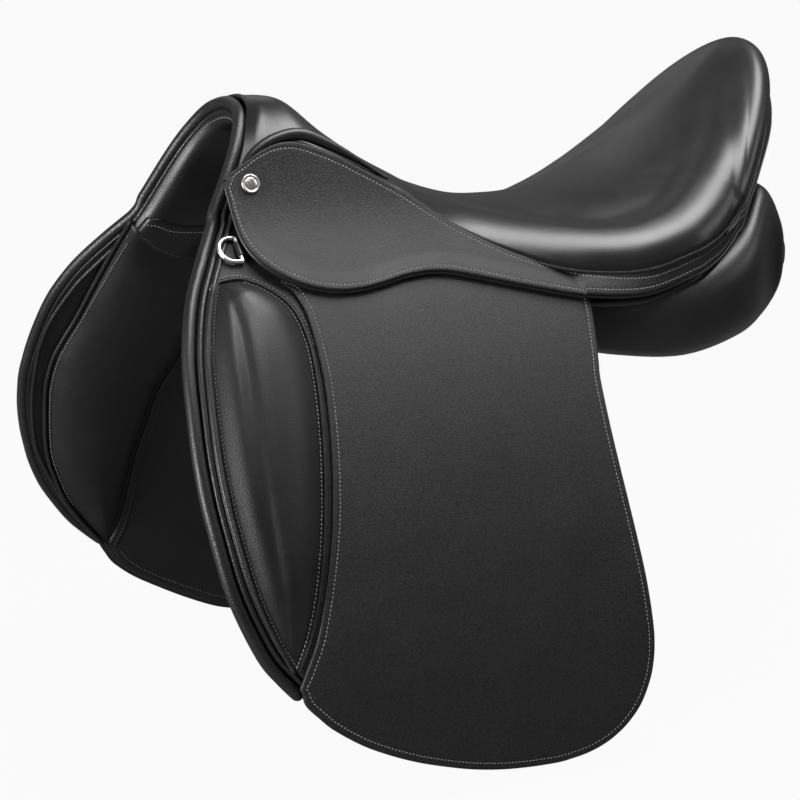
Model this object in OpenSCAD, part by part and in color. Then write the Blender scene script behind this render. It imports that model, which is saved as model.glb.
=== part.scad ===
// Dressage saddle in millimetres, one module for each piece that comes apart on the bench.
// X runs forward, Y to the horse's left and Z up. The origin lies on the middle plane below
// the lowest point of the seat, at the level where the panels bear on the back.
// Pieces on the side of the saddle are laid out on its curved side face: x along the saddle,
// s down the side from the level where the face slopes at 45 degrees, o outward from the face.

/* [Seat] */
// From the origin forward to the front edge of the seat leather
seat_front = 175; // [168:1:180]
// From the origin back to the rear face of the cantle
seat_back = 245; // [226:1:280]
// Height of the lowest point of the seat
dip_height = 91; // [86:1:98]
// Height of the top of the pommel
pommel_height = 169; // [166:1:174]
// Height of the top of the cantle
cantle_height = 202; // [190:1:220]
// Half width of the seat at its widest
seat_half = 136; // [126:1:146]
// Thickness of the seat leather
seat_leather = 3; // [2:0.25:4]
// Depth of the foam in the middle of the seat
foam_depth = 20; // [14:1:26]

/* [Side] */
// Radius of the side face round the horse
side_radius = 460; // [430:5:500]
// Half width where the side face slopes at 45 degrees
side_half = 73; // [71:1:76]
// Height where the side face slopes at 45 degrees
side_height = 79; // [77:1:82]
// Radius of the hollow between the pommel flank and the skirt
throat_radius = 31.5; // [30:0.5:34]

/* [Leather] */
// Thickness of flap and skirt leather
leather = 3; // [2.5:0.25:4]
// Thickness of the sweat flap
sweat_leather = 3; // [2.5:0.25:4]
// Gap between two sewn layers
layer_gap = 0.3; // [0.3:0.05:0.6]
// Gap between a loose flap and what lies under it
slip_gap = 0.8; // [0.6:0.1:1.5]
// Half the open strip left at a bend in the leather
bend_gap = 3; // [2.5:0.25:4]

/* [Flap] */
// From the origin forward to the front of the flap
flap_front = 285; // [275:1:300]
// From the origin back to the rear edge of the flap
flap_back = 24; // [16:1:32]
// Length of the side face from the 45 degree level down to the flap's lower edge
flap_depth = 376; // [340:2:420]
// Height of the knee block above the flap
block_height = 15; // [8:1:20]
// Diameter of the thin roll on the flap's front edge
flap_piping_d = 4; // [3:0.25:5]

/* [Front roll] */
// Diameter of the thick roll round the front of the saddle
roll_d = 8; // [6:0.5:9]
// Forward position of the top of the arch
arch_front = 190; // [188:1:194]
// Height of the roll at the top of the arch
arch_height = 165; // [163:1:168]
// Forward lean of the arch's legs for each unit of drop
arch_lean = 0.55; // [0.5:0.01:0.6]

/* [Tree] */
// Thickness of the head of the tree
head_thick = 9; // [7:0.5:10]
// Depth of the head from front to back
head_deep = 30; // [26:1:34]
// Thickness of rails and cantle board
rail_thick = 8; // [6:0.5:9]
// Thickness of the steel arch plate
plate_thick = 2.5; // [2:0.25:3]

/* [Stirrup bar] */
// Diameter of the bar
bar_d = 8; // [7:0.5:8.5]
// Straight length of the bar behind its post
bar_length = 48; // [44:1:56]
// Length of the hinged catch
catch_length = 16; // [13:0.5:18]
// Diameter of the catch's hinge pin
catch_pin_d = 2.4; // [2:0.1:3]
// Running clearance round a hinge pin
pin_clear = 0.06; // [0.04:0.01:0.1]
// Diameter of the rivets
rivet_d = 4; // [3:0.5:5]

/* [Dee ring] */
// Inside length of the ring along its straight side
dee_inside = 16; // [13:0.5:20]
// Diameter of the ring's wire
dee_wire = 3; // [2.5:0.25:3.5]

/* [Stud] */
// Diameter of the stud's head
stud_d = 12; // [9:0.5:14]

/* [Girth straps] */
// Width of a girth strap
strap_width = 25; // [22:1:32]
// Thickness of a girth strap
strap_thick = 3.2; // [2.5:0.1:4]
// Length of a girth strap from its pivot to the start of its rounded end
strap_length = 230; // [200:5:250]
// Diameter of the holes in a girth strap
strap_hole_d = 6; // [5:0.5:7]
// Distance between two holes
strap_pitch = 25; // [22:1:30]

/* [Panels] */
// Height of the channel sides above the lowest line of the panels
panel_drop = 19; // [12:1:24]
// Half width of the channel between the panels
channel_half = 33; // [28:1:36]
// Depth of the forepart's padding
forepart_depth = 17; // [10:1:20]

/* [Hidden] */
$fn = 48;

black = [0.09, 0.09, 0.10];
grain = [0.15, 0.15, 0.16];
steel = [0.62, 0.62, 0.64];
wood = [0.70, 0.55, 0.36];
web = [0.80, 0.76, 0.66];
cream = [0.90, 0.86, 0.72];

// Layers on the side face, from the horse outward
strap_low = 1;
strap_high = strap_low + strap_thick;
flap_low = strap_high + slip_gap;
flap_high = flap_low + leather;
panel_low = flap_high + layer_gap;
panel_high = panel_low + leather;
skirt_low = panel_high + slip_gap + 0.7;
skirt_high = skirt_low + leather;
skirt_mid = (skirt_low + skirt_high) / 2;
flap_mid = (flap_low + panel_high) / 2;

// The side face
steep = 85;
side_y = side_half - side_radius * sin(45);
side_z = side_height - side_radius * cos(45);
throat_y = side_half + throat_radius * sin(45);
throat_z = side_height + throat_radius * cos(45);
throat_run = throat_radius * (steep - 45) * PI / 180;

function slope(s) = s >= 0
  ? 45 + s / side_radius * 180 / PI
  : 45 + min(-s, throat_run) / throat_radius * 180 / PI;
function outward(s) = [sin(slope(s)), cos(slope(s))];
function flat_base(s) = s >= 0
  ? [side_y, side_z] + side_radius * outward(s)
  : [throat_y, throat_z] - throat_radius * outward(s)
    - max(-s - throat_run, 0) * [cos(steep), -sin(steep)];
function side2(s, o) = flat_base(s) + o * outward(s);
function side(x, s, o) = [x, side2(s, o)[0], side2(s, o)[1]];

// Distance down the side face that lies at a given height
s_table = [for (s = [400 : -2 : -90]) [side2(s, skirt_mid)[1], s]];
function s_at(z) = lookup(z, s_table);

// Curves through given points
function cat(a, b, c, d, t) = 0.5 * (2 * b + (c - a) * t + (2 * a - 5 * b + 4 * c - d) * t * t
  + (3 * b - a - 3 * c + d) * t * t * t);
function at(list, i) = list[max(0, min(len(list) - 1, i))];
function smooth(list, n) = [
  for (i = [0 : len(list) - 2]) for (k = [0 : n - 1])
    cat(at(list, i - 1), list[i], list[i + 1], at(list, i + 2), k / n),
  list[len(list) - 1]
];
function round_off(list, n) = let (m = len(list)) [
  for (i = [0 : m - 1]) for (k = [0 : n - 1])
    cat(list[(i + m - 1) % m], list[i], list[(i + 1) % m], list[(i + 2) % m], k / n)
];
function unit(v) = v / norm(v);
function along(list, i) = unit(at(list, i + 1) - at(list, i - 1));

// A line of the flap outline moved inward by its own amount at each point
function inset(list, d) = [
  for (i = [0 : len(list) - 1]) let (t = along(list, i))
    list[i] + (is_list(d) ? d[i] : d) * [-t[1], t[0]]
];

// Outline of the flap, from the front of the arch down, along the lower edge and up the back
deep = (flap_depth - 40) / 336;
function fore(dx, s) = [flap_front - dx, s <= 40 ? s : 40 + (s - 40) * deep];
function hind(dx, s) = [dx - flap_back, s <= 40 ? s : 40 + (s - 40) * deep];
edge_points = [
  fore(76, -65), fore(52, -4), fore(25, 43), fore(4, 105), fore(0, 165), fore(16, 250), fore(53, 303),
  fore(117, 354), hind(104, 376), hind(29, 364), hind(0, 318), hind(7, 225), hind(11, 160), hind(-1, 72)
];
edge_steps = 4;
edge = smooth(edge_points, edge_steps);
toe = 6 * edge_steps;
overlay_front = smooth([
  fore(99, 40), fore(104, 85), fore(97, 160), fore(82, 218), fore(63, 270), fore(54, 299)
], 3);

// Bend lines: the flap below its head, the skirt below its sewn top
flap_bend = [[flap_front, 46], [-flap_back - 2, 80]];
skirt_bend = [[flap_front - 59, -12], [-flap_back - 2, 66]];
flap_axis = [for (p = flap_bend) side(p[0], p[1], flap_mid)];
skirt_axis = [for (p = skirt_bend) side(p[0], p[1], skirt_mid)];
function part_way(line, x) = (x - line[0][0]) / (line[1][0] - line[0][0]);
function bend_s(line, x) = let (f = part_way(line, x)) s_at(line[0][2] * (1 - f) + line[1][2] * f);
function flap_bend_s(x) = let (f = part_way(flap_bend, x)) flap_bend[0][1] * (1 - f) + flap_bend[1][1] * f;

// Seat, in cross stations: middle x, middle height, forward lean of the edge, half width,
// edge height and fullness
length = seat_front + seat_back;
function seat_x(f) = seat_front - f * length;
function up_front(f) = dip_height + f * (pommel_height - dip_height);
function up_back(f) = dip_height + f * (cantle_height - dip_height);
function wide(f) = side_half + f * (seat_half - side_half);
function edge_up(d) = side_height + d;
stations = [
  [seat_x(0.000), up_front(0.971), 24, wide(-0.12), edge_up(33), 3.5],
  [seat_x(0.042), up_front(0.939), 12, wide(-0.06), edge_up(46), 2.9],
  [seat_x(0.099), up_front(0.689), 5, wide(-0.02), edge_up(43), 2.5],
  [seat_x(0.182), up_front(0.389), 0, wide(0.07), edge_up(27), 2.2],
  [seat_x(0.276), up_front(0.172), 0, wide(0.21), edge_up(2), 2.2],
  [seat_x(0.370), up_front(0.036), 0, wide(0.50), edge_up(-16), 2.3],
  [seat_x(0.465), up_back(0.000), 0, wide(0.77), edge_up(-26), 2.4],
  [seat_x(0.572), up_back(0.029), 0, wide(0.97), edge_up(-27), 2.3],
  [seat_x(0.703), up_back(0.192), 15.7, wide(1.00), edge_up(-16), 2.1],
  [seat_x(0.804), up_back(0.451), 39.3, wide(0.93), edge_up(-10), 1.9],
  [seat_x(0.892), up_back(0.777), 61.7, wide(0.83), edge_up(-4), 1.7],
  [seat_x(0.949), up_back(0.969), 74.4, wide(0.74), edge_up(4), 1.8],
  [seat_x(0.982), up_back(0.991), 80.3, wide(0.67), edge_up(10), 2],
  [seat_x(1.000), up_back(0.820), 80.7, wide(0.62), edge_up(13), 1.9]
];
seat_steps = 2;
seat_rows = smooth(stations, seat_steps);
last_row = len(seat_rows) - 1;
function seat_at(q, v) = [
  q[0] + q[2] * v * v,
  q[3] * v,
  q[4] + (q[1] - q[4]) * (1 - pow(abs(v), q[5]))
];
spread = [-1, -0.97, -0.9, -0.78, -0.62, -0.42, -0.2, 0, 0.2, 0.42, 0.62, 0.78, 0.9, 0.97, 1];
seat_top = [for (q = seat_rows) [for (v = spread) seat_at(q, v)]];
function grid_normal(g, i, j) = unit(cross(
  at(g, i + 1)[j] - at(g, i - 1)[j],
  at(g[i], j - 1) - at(g[i], j + 1)
));
function sunk(g, d) = [
  for (i = [0 : len(g) - 1]) [for (j = [0 : len(g[i]) - 1]) g[i][j] - d * grid_normal(g, i, j)]
];
seat_under = sunk(seat_top, seat_leather);
foam_top = sunk(seat_top, seat_leather + layer_gap);
foam_share = smooth([0.1, 0.1, 0.15, 0.3, 0.6, 0.9, 1, 1, 0.9, 0.8, 0.7, 0.6, 0.5, 0.4], seat_steps);
function lowered(g, d) = [for (row = g) [for (p = row) p - [0, 0, d]]];
deck = [
  for (i = [0 : last_row]) [
    for (j = [0 : len(spread) - 1])
      foam_top[i][j] - [0, 0, 2 + foam_depth * foam_share[i] * (1 - spread[j] * spread[j])]
  ]
];
function cut_out(g, r0, r1, c0, c1) = [for (i = [r0 : r1]) [for (j = [c0 : c1]) g[i][j]]];

// Border of the seat from the left front, round the cantle, to the right front
border_half = concat(
  [for (i = [0 : last_row]) seat_at(seat_rows[i], 1)],
  [for (v = [0.86, 0.72, 0.56, 0.4, 0.2]) seat_at(seat_rows[last_row], v)]
);
function flip(p) = [p[0], -p[1], p[2]];
function both(half, middle) = concat(half, middle, [for (i = [len(half) - 1 : -1 : 0]) flip(half[i])]);
border = both(border_half, [seat_at(seat_rows[last_row], 0)]);
function level(v) = unit([v[0], v[1], 0]);
function border_out(i) = let (t = level(along(border, i))) [t[1], -t[0], 0];

// Plane of the front of the arch
function arch_x(z) = arch_front + arch_lean * (arch_height - z);
lean_angle = atan(arch_lean);
lean_stretch = 1 / cos(lean_angle);
// Height of the round top of the arch, and where it springs from the side face
arch_rise = 38.6;
throat_end = throat_z - throat_radius * cos(steep);
function spring_s(top) = -throat_run - (top - arch_rise - throat_end) / sin(steep);
// The crown of the tree lies this far below the top of the pommel
crown_room = 14;
function crown(d) = pommel_height - crown_room - d;
crown_spring = spring_s(pommel_height - crown_room + 10);
// Arch line at a depth d inside the side face, from its lower end to the middle plane
function arch_line(d, low, apex) = let (e = side2(crown_spring, -d)) concat(
  [for (s = [low : -8 : crown_spring + 4]) side2(s, -d)],
  [for (a = [0 : 15 : 90]) [
    e[0] * pow(max(cos(a), 0), 1.15),
    e[1] + (apex - e[1]) * pow(max(sin(a), 0), 1.15)
  ]]
);
facing_top = arch_height - 3.5;
head_low = layer_gap + sweat_leather + 3.2;
head_near = roll_d / 2 + 4.2;
head_deep_o = head_low + head_thick;
plate_low = head_deep_o + layer_gap;
lining_low = plate_low + plate_thick + layer_gap;
lining_deep = lining_low + 2.5;

// Stirrup bar
bar_s = 22;
bar_o = skirt_low - 1.2 - bar_d / 2;
bar_front = flap_front - 86;
bar_rear = bar_front - bar_length;
bar_plate_low = -head_low + layer_gap;
bar_plate_thick = 2.5;

// Dee ring
dee_x = flap_front - 64;
dee_s = 16;
dee_o = flap_high + dee_wire / 2 + 0.8 + layer_gap;
dee_half = (dee_inside + dee_wire) / 2;

// Girth straps
strap_top = 66;
strap_front_x = 128;
strap_rear_x = 62;

// Closed skin between two grids that match point for point
module skin(top, under) {
  rows = len(top);
  cols = len(top[0]);
  size = rows * cols;
  polyhedron(
    points = concat([for (r = top) each r], [for (r = under) each r]),
    faces = concat(
      [for (i = [0 : rows - 2]) for (j = [0 : cols - 2]) let (a = i * cols + j)
        each [[a, a + cols + 1, a + 1], [a, a + cols, a + cols + 1]]],
      [for (i = [0 : rows - 2]) for (j = [0 : cols - 2]) let (a = size + i * cols + j)
        each [[a, a + 1, a + cols + 1], [a, a + cols + 1, a + cols]]],
      [for (j = [0 : cols - 2]) each [[j, j + 1, size + j + 1], [j, size + j + 1, size + j]]],
      [for (j = [0 : cols - 2]) let (a = size - cols + j)
        each [[a, size + a + 1, a + 1], [a, size + a, size + a + 1]]],
      [for (i = [0 : rows - 2]) let (a = i * cols)
        each [[a, size + a, size + a + cols], [a, size + a + cols, a + cols]]],
      [for (i = [0 : rows - 2]) let (a = i * cols + cols - 1)
        each [[a, size + a + cols, size + a], [a, a + cols, size + a + cols]]]
    )
  );
}

// Body through matching rings, closed at both ends
module loft(rings) {
  n = len(rings[0]);
  m = len(rings);
  polyhedron(
    points = [for (r = rings) each r],
    faces = concat(
      [[for (k = [0 : n - 1]) n - 1 - k]],
      [for (i = [0 : m - 2]) for (k = [0 : n - 1]) let (a = i * n + k, b = i * n + (k + 1) % n)
        each [[a, b, b + n], [a, b + n, a + n]]],
      [[for (k = [0 : n - 1]) (m - 1) * n + k]]
    )
  );
}

// Round roll along a path, with its own radius at each point
module roll(path, radius, up, sides = 8) {
  rings = [
    for (i = [0 : len(path) - 1]) let (
      t = along(path, i),
      a = unit(cross(t, up)),
      b = cross(t, a),
      r = is_list(radius) ? radius[i] : radius
    ) [for (k = [0 : sides - 1]) path[i] + r * (cos(360 * k / sides) * a + sin(360 * k / sides) * b)]
  ];
  loft(rings);
}

// Leather sheet on the side face, with a given outline and between two layers
module sheet(outline, low, high, view) {
  mid = (low + high) / 2;
  ss = [for (p = outline) p[1]];
  xs = [for (p = outline) p[0]];
  s_low = min(ss) - 12;
  s_high = max(ss) + 12;
  step = 8;
  run = [for (s = [s_low : step : s_high + step]) s];
  flat_line = [
    for (p = outline) let (q = side(p[0], p[1], mid)) [q[0], q[1] * cos(view) - q[2] * sin(view)]
  ];
  intersection() {
    translate([min(xs) - 5, 0, 0])
      rotate([90, 0, 90])
        linear_extrude(height = max(xs) - min(xs) + 10)
          polygon(concat(
            [for (s = run) side2(s, high)],
            [for (i = [len(run) - 1 : -1 : 0]) side2(run[i], low)]
          ));
    rotate([-view, 0, 0])
      translate([0, 0, -400])
        linear_extrude(height = 900)
          polygon(flat_line);
  }
}

// Stuffed pad on the side face: rings toward a middle point, with both faces' layers at each ring
module pad(outline, middle, rings, low, high) {
  n = len(outline);
  m = len(rings);
  function ring(f, o) = [for (p = outline) let (q = middle + f * (p - middle)) side(q[0], q[1], o)];
  points = concat(
    [for (i = [0 : m - 1]) each ring(rings[i], high[i])],
    [side(middle[0], middle[1], high[m])],
    [for (i = [0 : m - 1]) each ring(rings[i], low[i])],
    [side(middle[0], middle[1], low[m])]
  );
  base = n * m + 1;
  polyhedron(points = points, faces = concat(
    [for (i = [0 : m - 2]) for (k = [0 : n - 1]) let (a = i * n + k, b = i * n + (k + 1) % n)
      each [[a, b, b + n], [a, b + n, a + n]]],
    [for (k = [0 : n - 1]) [(m - 1) * n + k, (m - 1) * n + (k + 1) % n, n * m]],
    [for (i = [0 : m - 2]) for (k = [0 : n - 1])
      let (a = base + i * n + k, b = base + i * n + (k + 1) % n)
      each [[a, b + n, b], [a, a + n, b + n]]],
    [for (k = [0 : n - 1]) [base + (m - 1) * n + (k + 1) % n, base + (m - 1) * n + k, base + n * m]],
    [for (k = [0 : n - 1]) let (b = (k + 1) % n) each [[k, base + b, b], [k, base + k, base + b]]]
  ));
}

// Arch-shaped band between two depths, with its own top. Its front leans with the roll, its back leans
// by its own amount.
module arch_band(outer, inner, low, near, far, back_lean, top) {
  line_out = arch_line(outer, low, top);
  line_in = arch_line(inner, low, crown(inner));
  outline = concat(
    line_out,
    [for (i = [len(line_out) - 2 : -1 : 0]) [-line_out[i][0], line_out[i][1]]],
    [for (p = line_in) [-p[0], p[1]]],
    [for (i = [len(line_in) - 2 : -1 : 0]) line_in[i]]
  );
  top_z = arch_height + 20;
  low_z = -20;
  back_x = arch_x(arch_height) - far * lean_stretch;
  intersection() {
    translate([60, 0, 0])
      rotate([90, 0, 90])
        linear_extrude(height = 260)
          polygon(outline);
    translate([0, 200, 0])
      rotate([90, 0, 0])
        linear_extrude(height = 400)
          polygon([
            [arch_x(top_z) - near * lean_stretch, top_z],
            [arch_x(low_z) - near * lean_stretch, low_z],
            [back_x + back_lean * (arch_height - low_z), low_z],
            [back_x + back_lean * (arch_height - top_z), top_z]
          ]);
  }
}

// Frame on the side face: X forward, Y down the side, Z outward
module on_side(x, s, o) {
  p = side(x, s, o);
  translate(p)
    rotate([-slope(s), 0, 0])
      children();
}

module left() {
  children();
}

module right() {
  mirror([0, 1, 0])
    children();
}

// The tree

module tree_head() {
  color(wood)
    difference() {
      arch_band(head_low, head_deep_o, 34, head_near, head_near + head_deep, 0.2, crown(head_low));
      for (flank = [0, 1])
        mirror([0, flank, 0])
          rivet_line(rivet_d / 2 + pin_clear, -head_deep_o - 5, 0);
    }
}

module rivet_line(r, low, high) {
  for (p = [[bar_front - 20, bar_s - 9], [bar_front - 5, bar_s - 9]])
    on_side(p[0], p[1], low)
      cylinder(r = r, h = high - low);
}

module tree_rivets() {
  color(steel)
    for (flank = [0, 1])
      mirror([0, flank, 0]) {
        rivet_line(rivet_d / 2, -head_deep_o + 1, bar_plate_low + bar_plate_thick + layer_gap);
        rivet_line(rivet_d * 0.8, bar_plate_low + bar_plate_thick + layer_gap,
          bar_plate_low + bar_plate_thick + layer_gap + 1.4);
      }
}

module gullet_plate() {
  color(steel)
    arch_band(plate_low, plate_low + plate_thick, 10, roll_d / 2 + 6, roll_d / 2 + 34, arch_lean,
      crown(plate_low));
}

rail_first = 6;
rail_last = 19;
module tree_rail(from, to) {
  g = cut_out(deck, rail_first, rail_last, from, to);
  color(wood)
    skin(lowered(g, layer_gap + 0.1), lowered(g, layer_gap + 0.1 + rail_thick));
}

module tree_cantle() {
  g = cut_out(deck, rail_last + 1, last_row - 3, 2, 12);
  color(wood)
    skin(lowered(g, layer_gap + 0.1), lowered(g, layer_gap + 0.1 + rail_thick));
}

module seat_springs() {
  drop = layer_gap * 2 + 0.1 + rail_thick;
  color(steel)
    for (column = [3, 10]) {
      g = cut_out(deck, rail_first + 1, rail_last - 1, column, column + 1);
      skin(lowered(g, drop), lowered(g, drop + 1.5));
    }
}

module seat_webbing() {
  g = cut_out(deck, rail_first + 2, rail_last, 6, 8);
  color(web)
    skin(lowered(g, layer_gap + 0.1), lowered(g, layer_gap + 1.7));
}

// The seat

module seat_foam() {
  color(cream)
    skin(cut_out(foam_top, 1, last_row - 1, 1, 13), cut_out(deck, 1, last_row - 1, 1, 13));
}

module seat_cover() {
  color(black)
    skin(seat_top, seat_under);
}

welt_r = 2.2;
module seat_welt() {
  path = [for (i = [6 : len(border) - 7]) border[i] + border_out(i) * (welt_r + 0.1) - [0, 0, 1]];
  color(black)
    roll(path, welt_r, [0, 0, 1], 6);
}

// The band starts behind the flap and deepens toward the back
band_from = 13;
function band_deep(i) = let (f = abs(i - (len(border) - 1) / 2) / ((len(border) - 1) / 2 - band_from))
  16 + 22 * pow(max(0, 1 - f), 2);
band_out = -1;
band_thick = 3.5;
band_index = [for (i = [band_from : len(border) - 1 - band_from]) i];
module cantle_band() {
  rings = [
    for (i = band_index) let (
      p = border[i],
      n = border_out(i),
      top = -welt_r - 1.2,
      low = top - band_deep(i)
    ) [
      p + n * -band_out + [0, 0, top],
      p + n * (-band_out - band_thick) + [0, 0, top],
      p + n * (-band_out - band_thick - 1) + [0, 0, low],
      p + n * (-band_out - 1) + [0, 0, low]
    ]
  ];
  color(black)
    loft(rings);
}

module cantle_welt() {
  path = [
    for (i = band_index)
      border[i] - border_out(i) * (band_out + band_thick / 2 + 1) - [0, 0, welt_r * 2 + 1.5 + band_deep(i)]
  ];
  color(black)
    roll(path, welt_r, [0, 0, 1], 6);
}

// The front of the arch

// Path over the arch, a given distance outside the side face and behind the leaning plane
function arch_path(o, top, back, spring) = let (
  e = side2(spring, o),
  up = [for (a = [0 : 10 : 90]) [
    e[0] * pow(max(cos(a), 0), 1.15),
    e[1] + (top - e[1]) * pow(max(sin(a), 0), 1.15)
  ]],
  low = [for (s = [6 : -8 : spring + 2]) side2(s, o)],
  half = concat(low, up)
) [
  for (i = [0 : len(half) - 1]) [arch_x(half[i][1]) - back * lean_stretch, half[i][0], half[i][1]]
];
roll_spring = spring_s(arch_height);
function mirrored(half) = concat(half, [for (i = [len(half) - 2 : -1 : 0]) flip(half[i])]);

module front_roll() {
  side_part = [for (i = [toe : -1 : 0]) if (edge[i][1] > 12) side(edge[i][0], edge[i][1], 0)];
  half = concat(side_part, arch_path(2.5, arch_height, 0, roll_spring));
  color(grain)
    roll(mirrored(half), roll_d / 2, [1, 0, 0], 8);
}

module pommel_welt() {
  half = arch_path(4.2, arch_height + 5.8, roll_d / 2 + 2.6, roll_spring);
  color(grain)
    roll(mirrored([for (p = half) if (p[2] > arch_height - 46) p]), 2.4, [1, 0, 0], 6);
}

module pommel_facing() {
  color(black)
    arch_band(-1.5, lining_deep, 6, roll_d / 2 + 0.3, roll_d / 2 + 3.3, arch_lean, facing_top);
}

module gullet_lining() {
  color(black)
    arch_band(lining_low, lining_deep, 18, roll_d / 2 + 3.6, roll_d / 2 + 52, 0.3, crown(lining_low));
}

module gullet_piping() {
  half = arch_path(-lining_deep + 1.5, crown(lining_deep - 1.5), roll_d / 2 - 2.6, crown_spring);
  color(black)
    roll(mirrored(half), 2.6, [1, 0, 0], 6);
}

module channel_lining() {
  rows = [for (i = [2 : len(panel_rows) - 3]) let (q = panel_rows[i], w = q[1] - 0.81 * q[3] - 0.3) [
    for (v = [-1, 0, 1]) [q[0], v * w, q[2] + 0.8 * q[4] + (v == 0 ? 1.5 : 0)]
  ]];
  color(black)
    skin(rows, lowered(rows, 1.2));
}

// Skirts, studs and dee rings

skirt_front = [
  [flap_front - 66, -24], [flap_front - 66, -6], [flap_front - 68, 8], [flap_front - 70, 26],
  [flap_front - 80, 40], [flap_front - 97, 50], [flap_front - 124, 55], [flap_front - 150, 52],
  [flap_front - 175, 45], [85, 40], [60, 41], [35, 47], [8, 57], [-flap_back, 69]
];
skirt_lower = smooth(skirt_front, 2);
// Upper edge of the skirt, tucked below the seat edge
function tuck(row) = let (p = seat_at(seat_rows[row], 1)) [p[0], s_at(p[2] - welt_r - 2.6)];
skirt_upper = [for (row = [12 : -1 : 5]) tuck(row)];
skirt_peak = smooth([
  [flap_front - 119, -63], [flap_front - 101, -61], [flap_front - 86, -53], [flap_front - 73, -39]
], 2);

module skirt_top() {
  low_line = [for (x = [flap_front - 68 : -12 : -flap_back]) [x, bend_s(skirt_axis, x) - bend_gap]];
  outline = concat(skirt_upper, skirt_peak, [[flap_front - 66, -24]], low_line);
  color(grain)
    difference() {
      sheet(outline, skirt_low, skirt_high, 66);
      on_side(stud_x, stud_s, skirt_low - 4)
        cylinder(d = stud_shank_d + 2 * pin_clear, h = leather + 8);
    }
}

module skirt_flap() {
  line = [
    for (x = [-flap_back + 34 : 12 : flap_front - 72]) [x, bend_s(skirt_axis, x) + bend_gap]
  ];
  low_line = [
    for (p = skirt_lower) if (p[1] > bend_s(skirt_axis, p[0]) + bend_gap + 1.5) p
  ];
  color(grain)
    sheet(concat(line, low_line), skirt_low, skirt_high, 52);
}

stud_s = -36;
stud_shank_d = 3;
stud_back = 15;
stud_x = arch_x(side2(stud_s, 0)[1]) - stud_back;
module studs() {
  color(steel)
    for (flank = [0, 1])
      mirror([0, flank, 0])
        on_side(stud_x, stud_s, 0) {
          translate([0, 0, -head_low + layer_gap])
            cylinder(d = stud_shank_d, h = head_low + skirt_high);
          translate([0, 0, skirt_high + layer_gap])
            intersection() {
              cylinder(d = stud_d, h = stud_d);
              translate([0, 0, stud_d * 0.28 - stud_d * 0.59])
                sphere(d = stud_d * 1.18);
            }
        }
}

module skirt_roll() {
  path = [
    for (p = smooth([
      [flap_front - 80, -46], [flap_front - 88, -56], [flap_front - 103, -65], [flap_front - 122, -67],
      [flap_front - 142, -58], [flap_front - 160, -48]
    ], 3)) side(p[0], p[1], skirt_low - 3.9)
  ];
  n = len(path) - 1;
  color(grain)
    roll(path, [for (i = [0 : n]) 1.4 + 1.8 * pow(sin(180 * pow(i / n, 0.75)), 0.8)], [0, 1, 0.2], 8);
}

module dee_ring() {
  color(steel)
    on_side(dee_x, dee_s, dee_o) {
      translate([0, -dee_half, 0])
        rotate([-90, 0, 0])
          cylinder(d = dee_wire, h = dee_half * 2);
      for (end = [-1, 1])
        translate([0, end * dee_half, 0]) {
          rotate([0, 90, 0])
            cylinder(d = dee_wire, h = 4);
          sphere(d = dee_wire);
        }
      translate([4, 0, 0])
        rotate([0, 0, -90])
          rotate_extrude(angle = 180)
            translate([dee_half, 0])
              circle(d = dee_wire);
    }
}

module dee_chape() {
  wide = dee_inside - 5;
  thick = dee_wire + 1.6;
  color(black)
    on_side(dee_x, dee_s, dee_o)
      difference() {
        union() {
          translate([-12, -wide / 2, -dee_wire / 2 - 0.5])
            cube([12, wide, 2]);
          translate([0, -wide / 2, 0])
            rotate([-90, 0, 0])
              cylinder(d = thick, h = wide);
        }
        translate([0, -wide, 0])
          rotate([-90, 0, 0])
            cylinder(d = dee_wire + 2 * pin_clear, h = wide * 2);
      }
}

// Stirrup bars

pivot_x = bar_rear + 4;
module stirrup_bar() {
  reach = bar_o - bar_plate_low;
  color(steel)
    difference() {
      union() {
        on_side(bar_front, bar_s, bar_o)
          rotate([0, -90, 0])
            cylinder(d = bar_d, h = bar_length);
        on_side(bar_front, bar_s, bar_plate_low)
          translate([-2, -bar_d / 2 - 0.5, 0])
            cube([bar_d + 2, bar_d + 1, reach + bar_d / 2 + 0.4]);
        on_side(bar_front, bar_s, bar_plate_low)
          translate([-27, -15, 0])
            cube([36, 22, bar_plate_thick]);
      }
      rivet_line(rivet_d / 2 + pin_clear, -20, 4);
      on_side(pivot_x, bar_s, bar_o) {
        translate([-10, -bar_d, -1.5])
          cube([14, bar_d * 2, 3]);
        translate([0, 0, -bar_d])
          cylinder(d = catch_pin_d + 2 * pin_clear, h = bar_d * 2);
      }
    }
}

module stirrup_catch() {
  color(steel)
    on_side(pivot_x, bar_s, bar_o)
      difference() {
        union() {
          translate([0, 0, -1.3])
            cylinder(d = 6, h = 2.6);
          translate([-8, -2.2, -1.3])
            cube([8, 4.4, 2.6]);
          translate([-6, 0, 0])
            rotate([0, -90, 0])
              cylinder(d = bar_d - 1, h = catch_length - 6);
          translate([-catch_length, 0, 0])
            sphere(d = bar_d - 1);
        }
        translate([0, 0, -bar_d])
          cylinder(d = catch_pin_d + 2 * pin_clear, h = bar_d * 2);
      }
}

module catch_pins() {
  color(steel)
    for (flank = [0, 1])
      mirror([0, flank, 0])
        on_side(pivot_x, bar_s, bar_o)
          translate([0, 0, -bar_d / 2 + 0.6])
            cylinder(d = catch_pin_d, h = bar_d - 1.2);
}

// Flaps

module flap_head() {
  low_line = [for (x = [flap_front - 33 : -12 : -flap_back]) [x, flap_bend_s(x) - bend_gap]];
  upper = smooth([
    [-flap_back, 56], [40, 42], [110, 34], [bar_front - 10, 31], [flap_front - 72, 24], [flap_front - 68, -6]
  ], 3);
  front_line = [for (p = inset(edge, roll_d / 2 + 4)) if (p[1] > -4 && p[1] < 40 && p[0] > 200) p];
  color(grain)
    sheet(concat(upper, front_line, low_line), flap_low, flap_high, 52);
}

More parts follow.
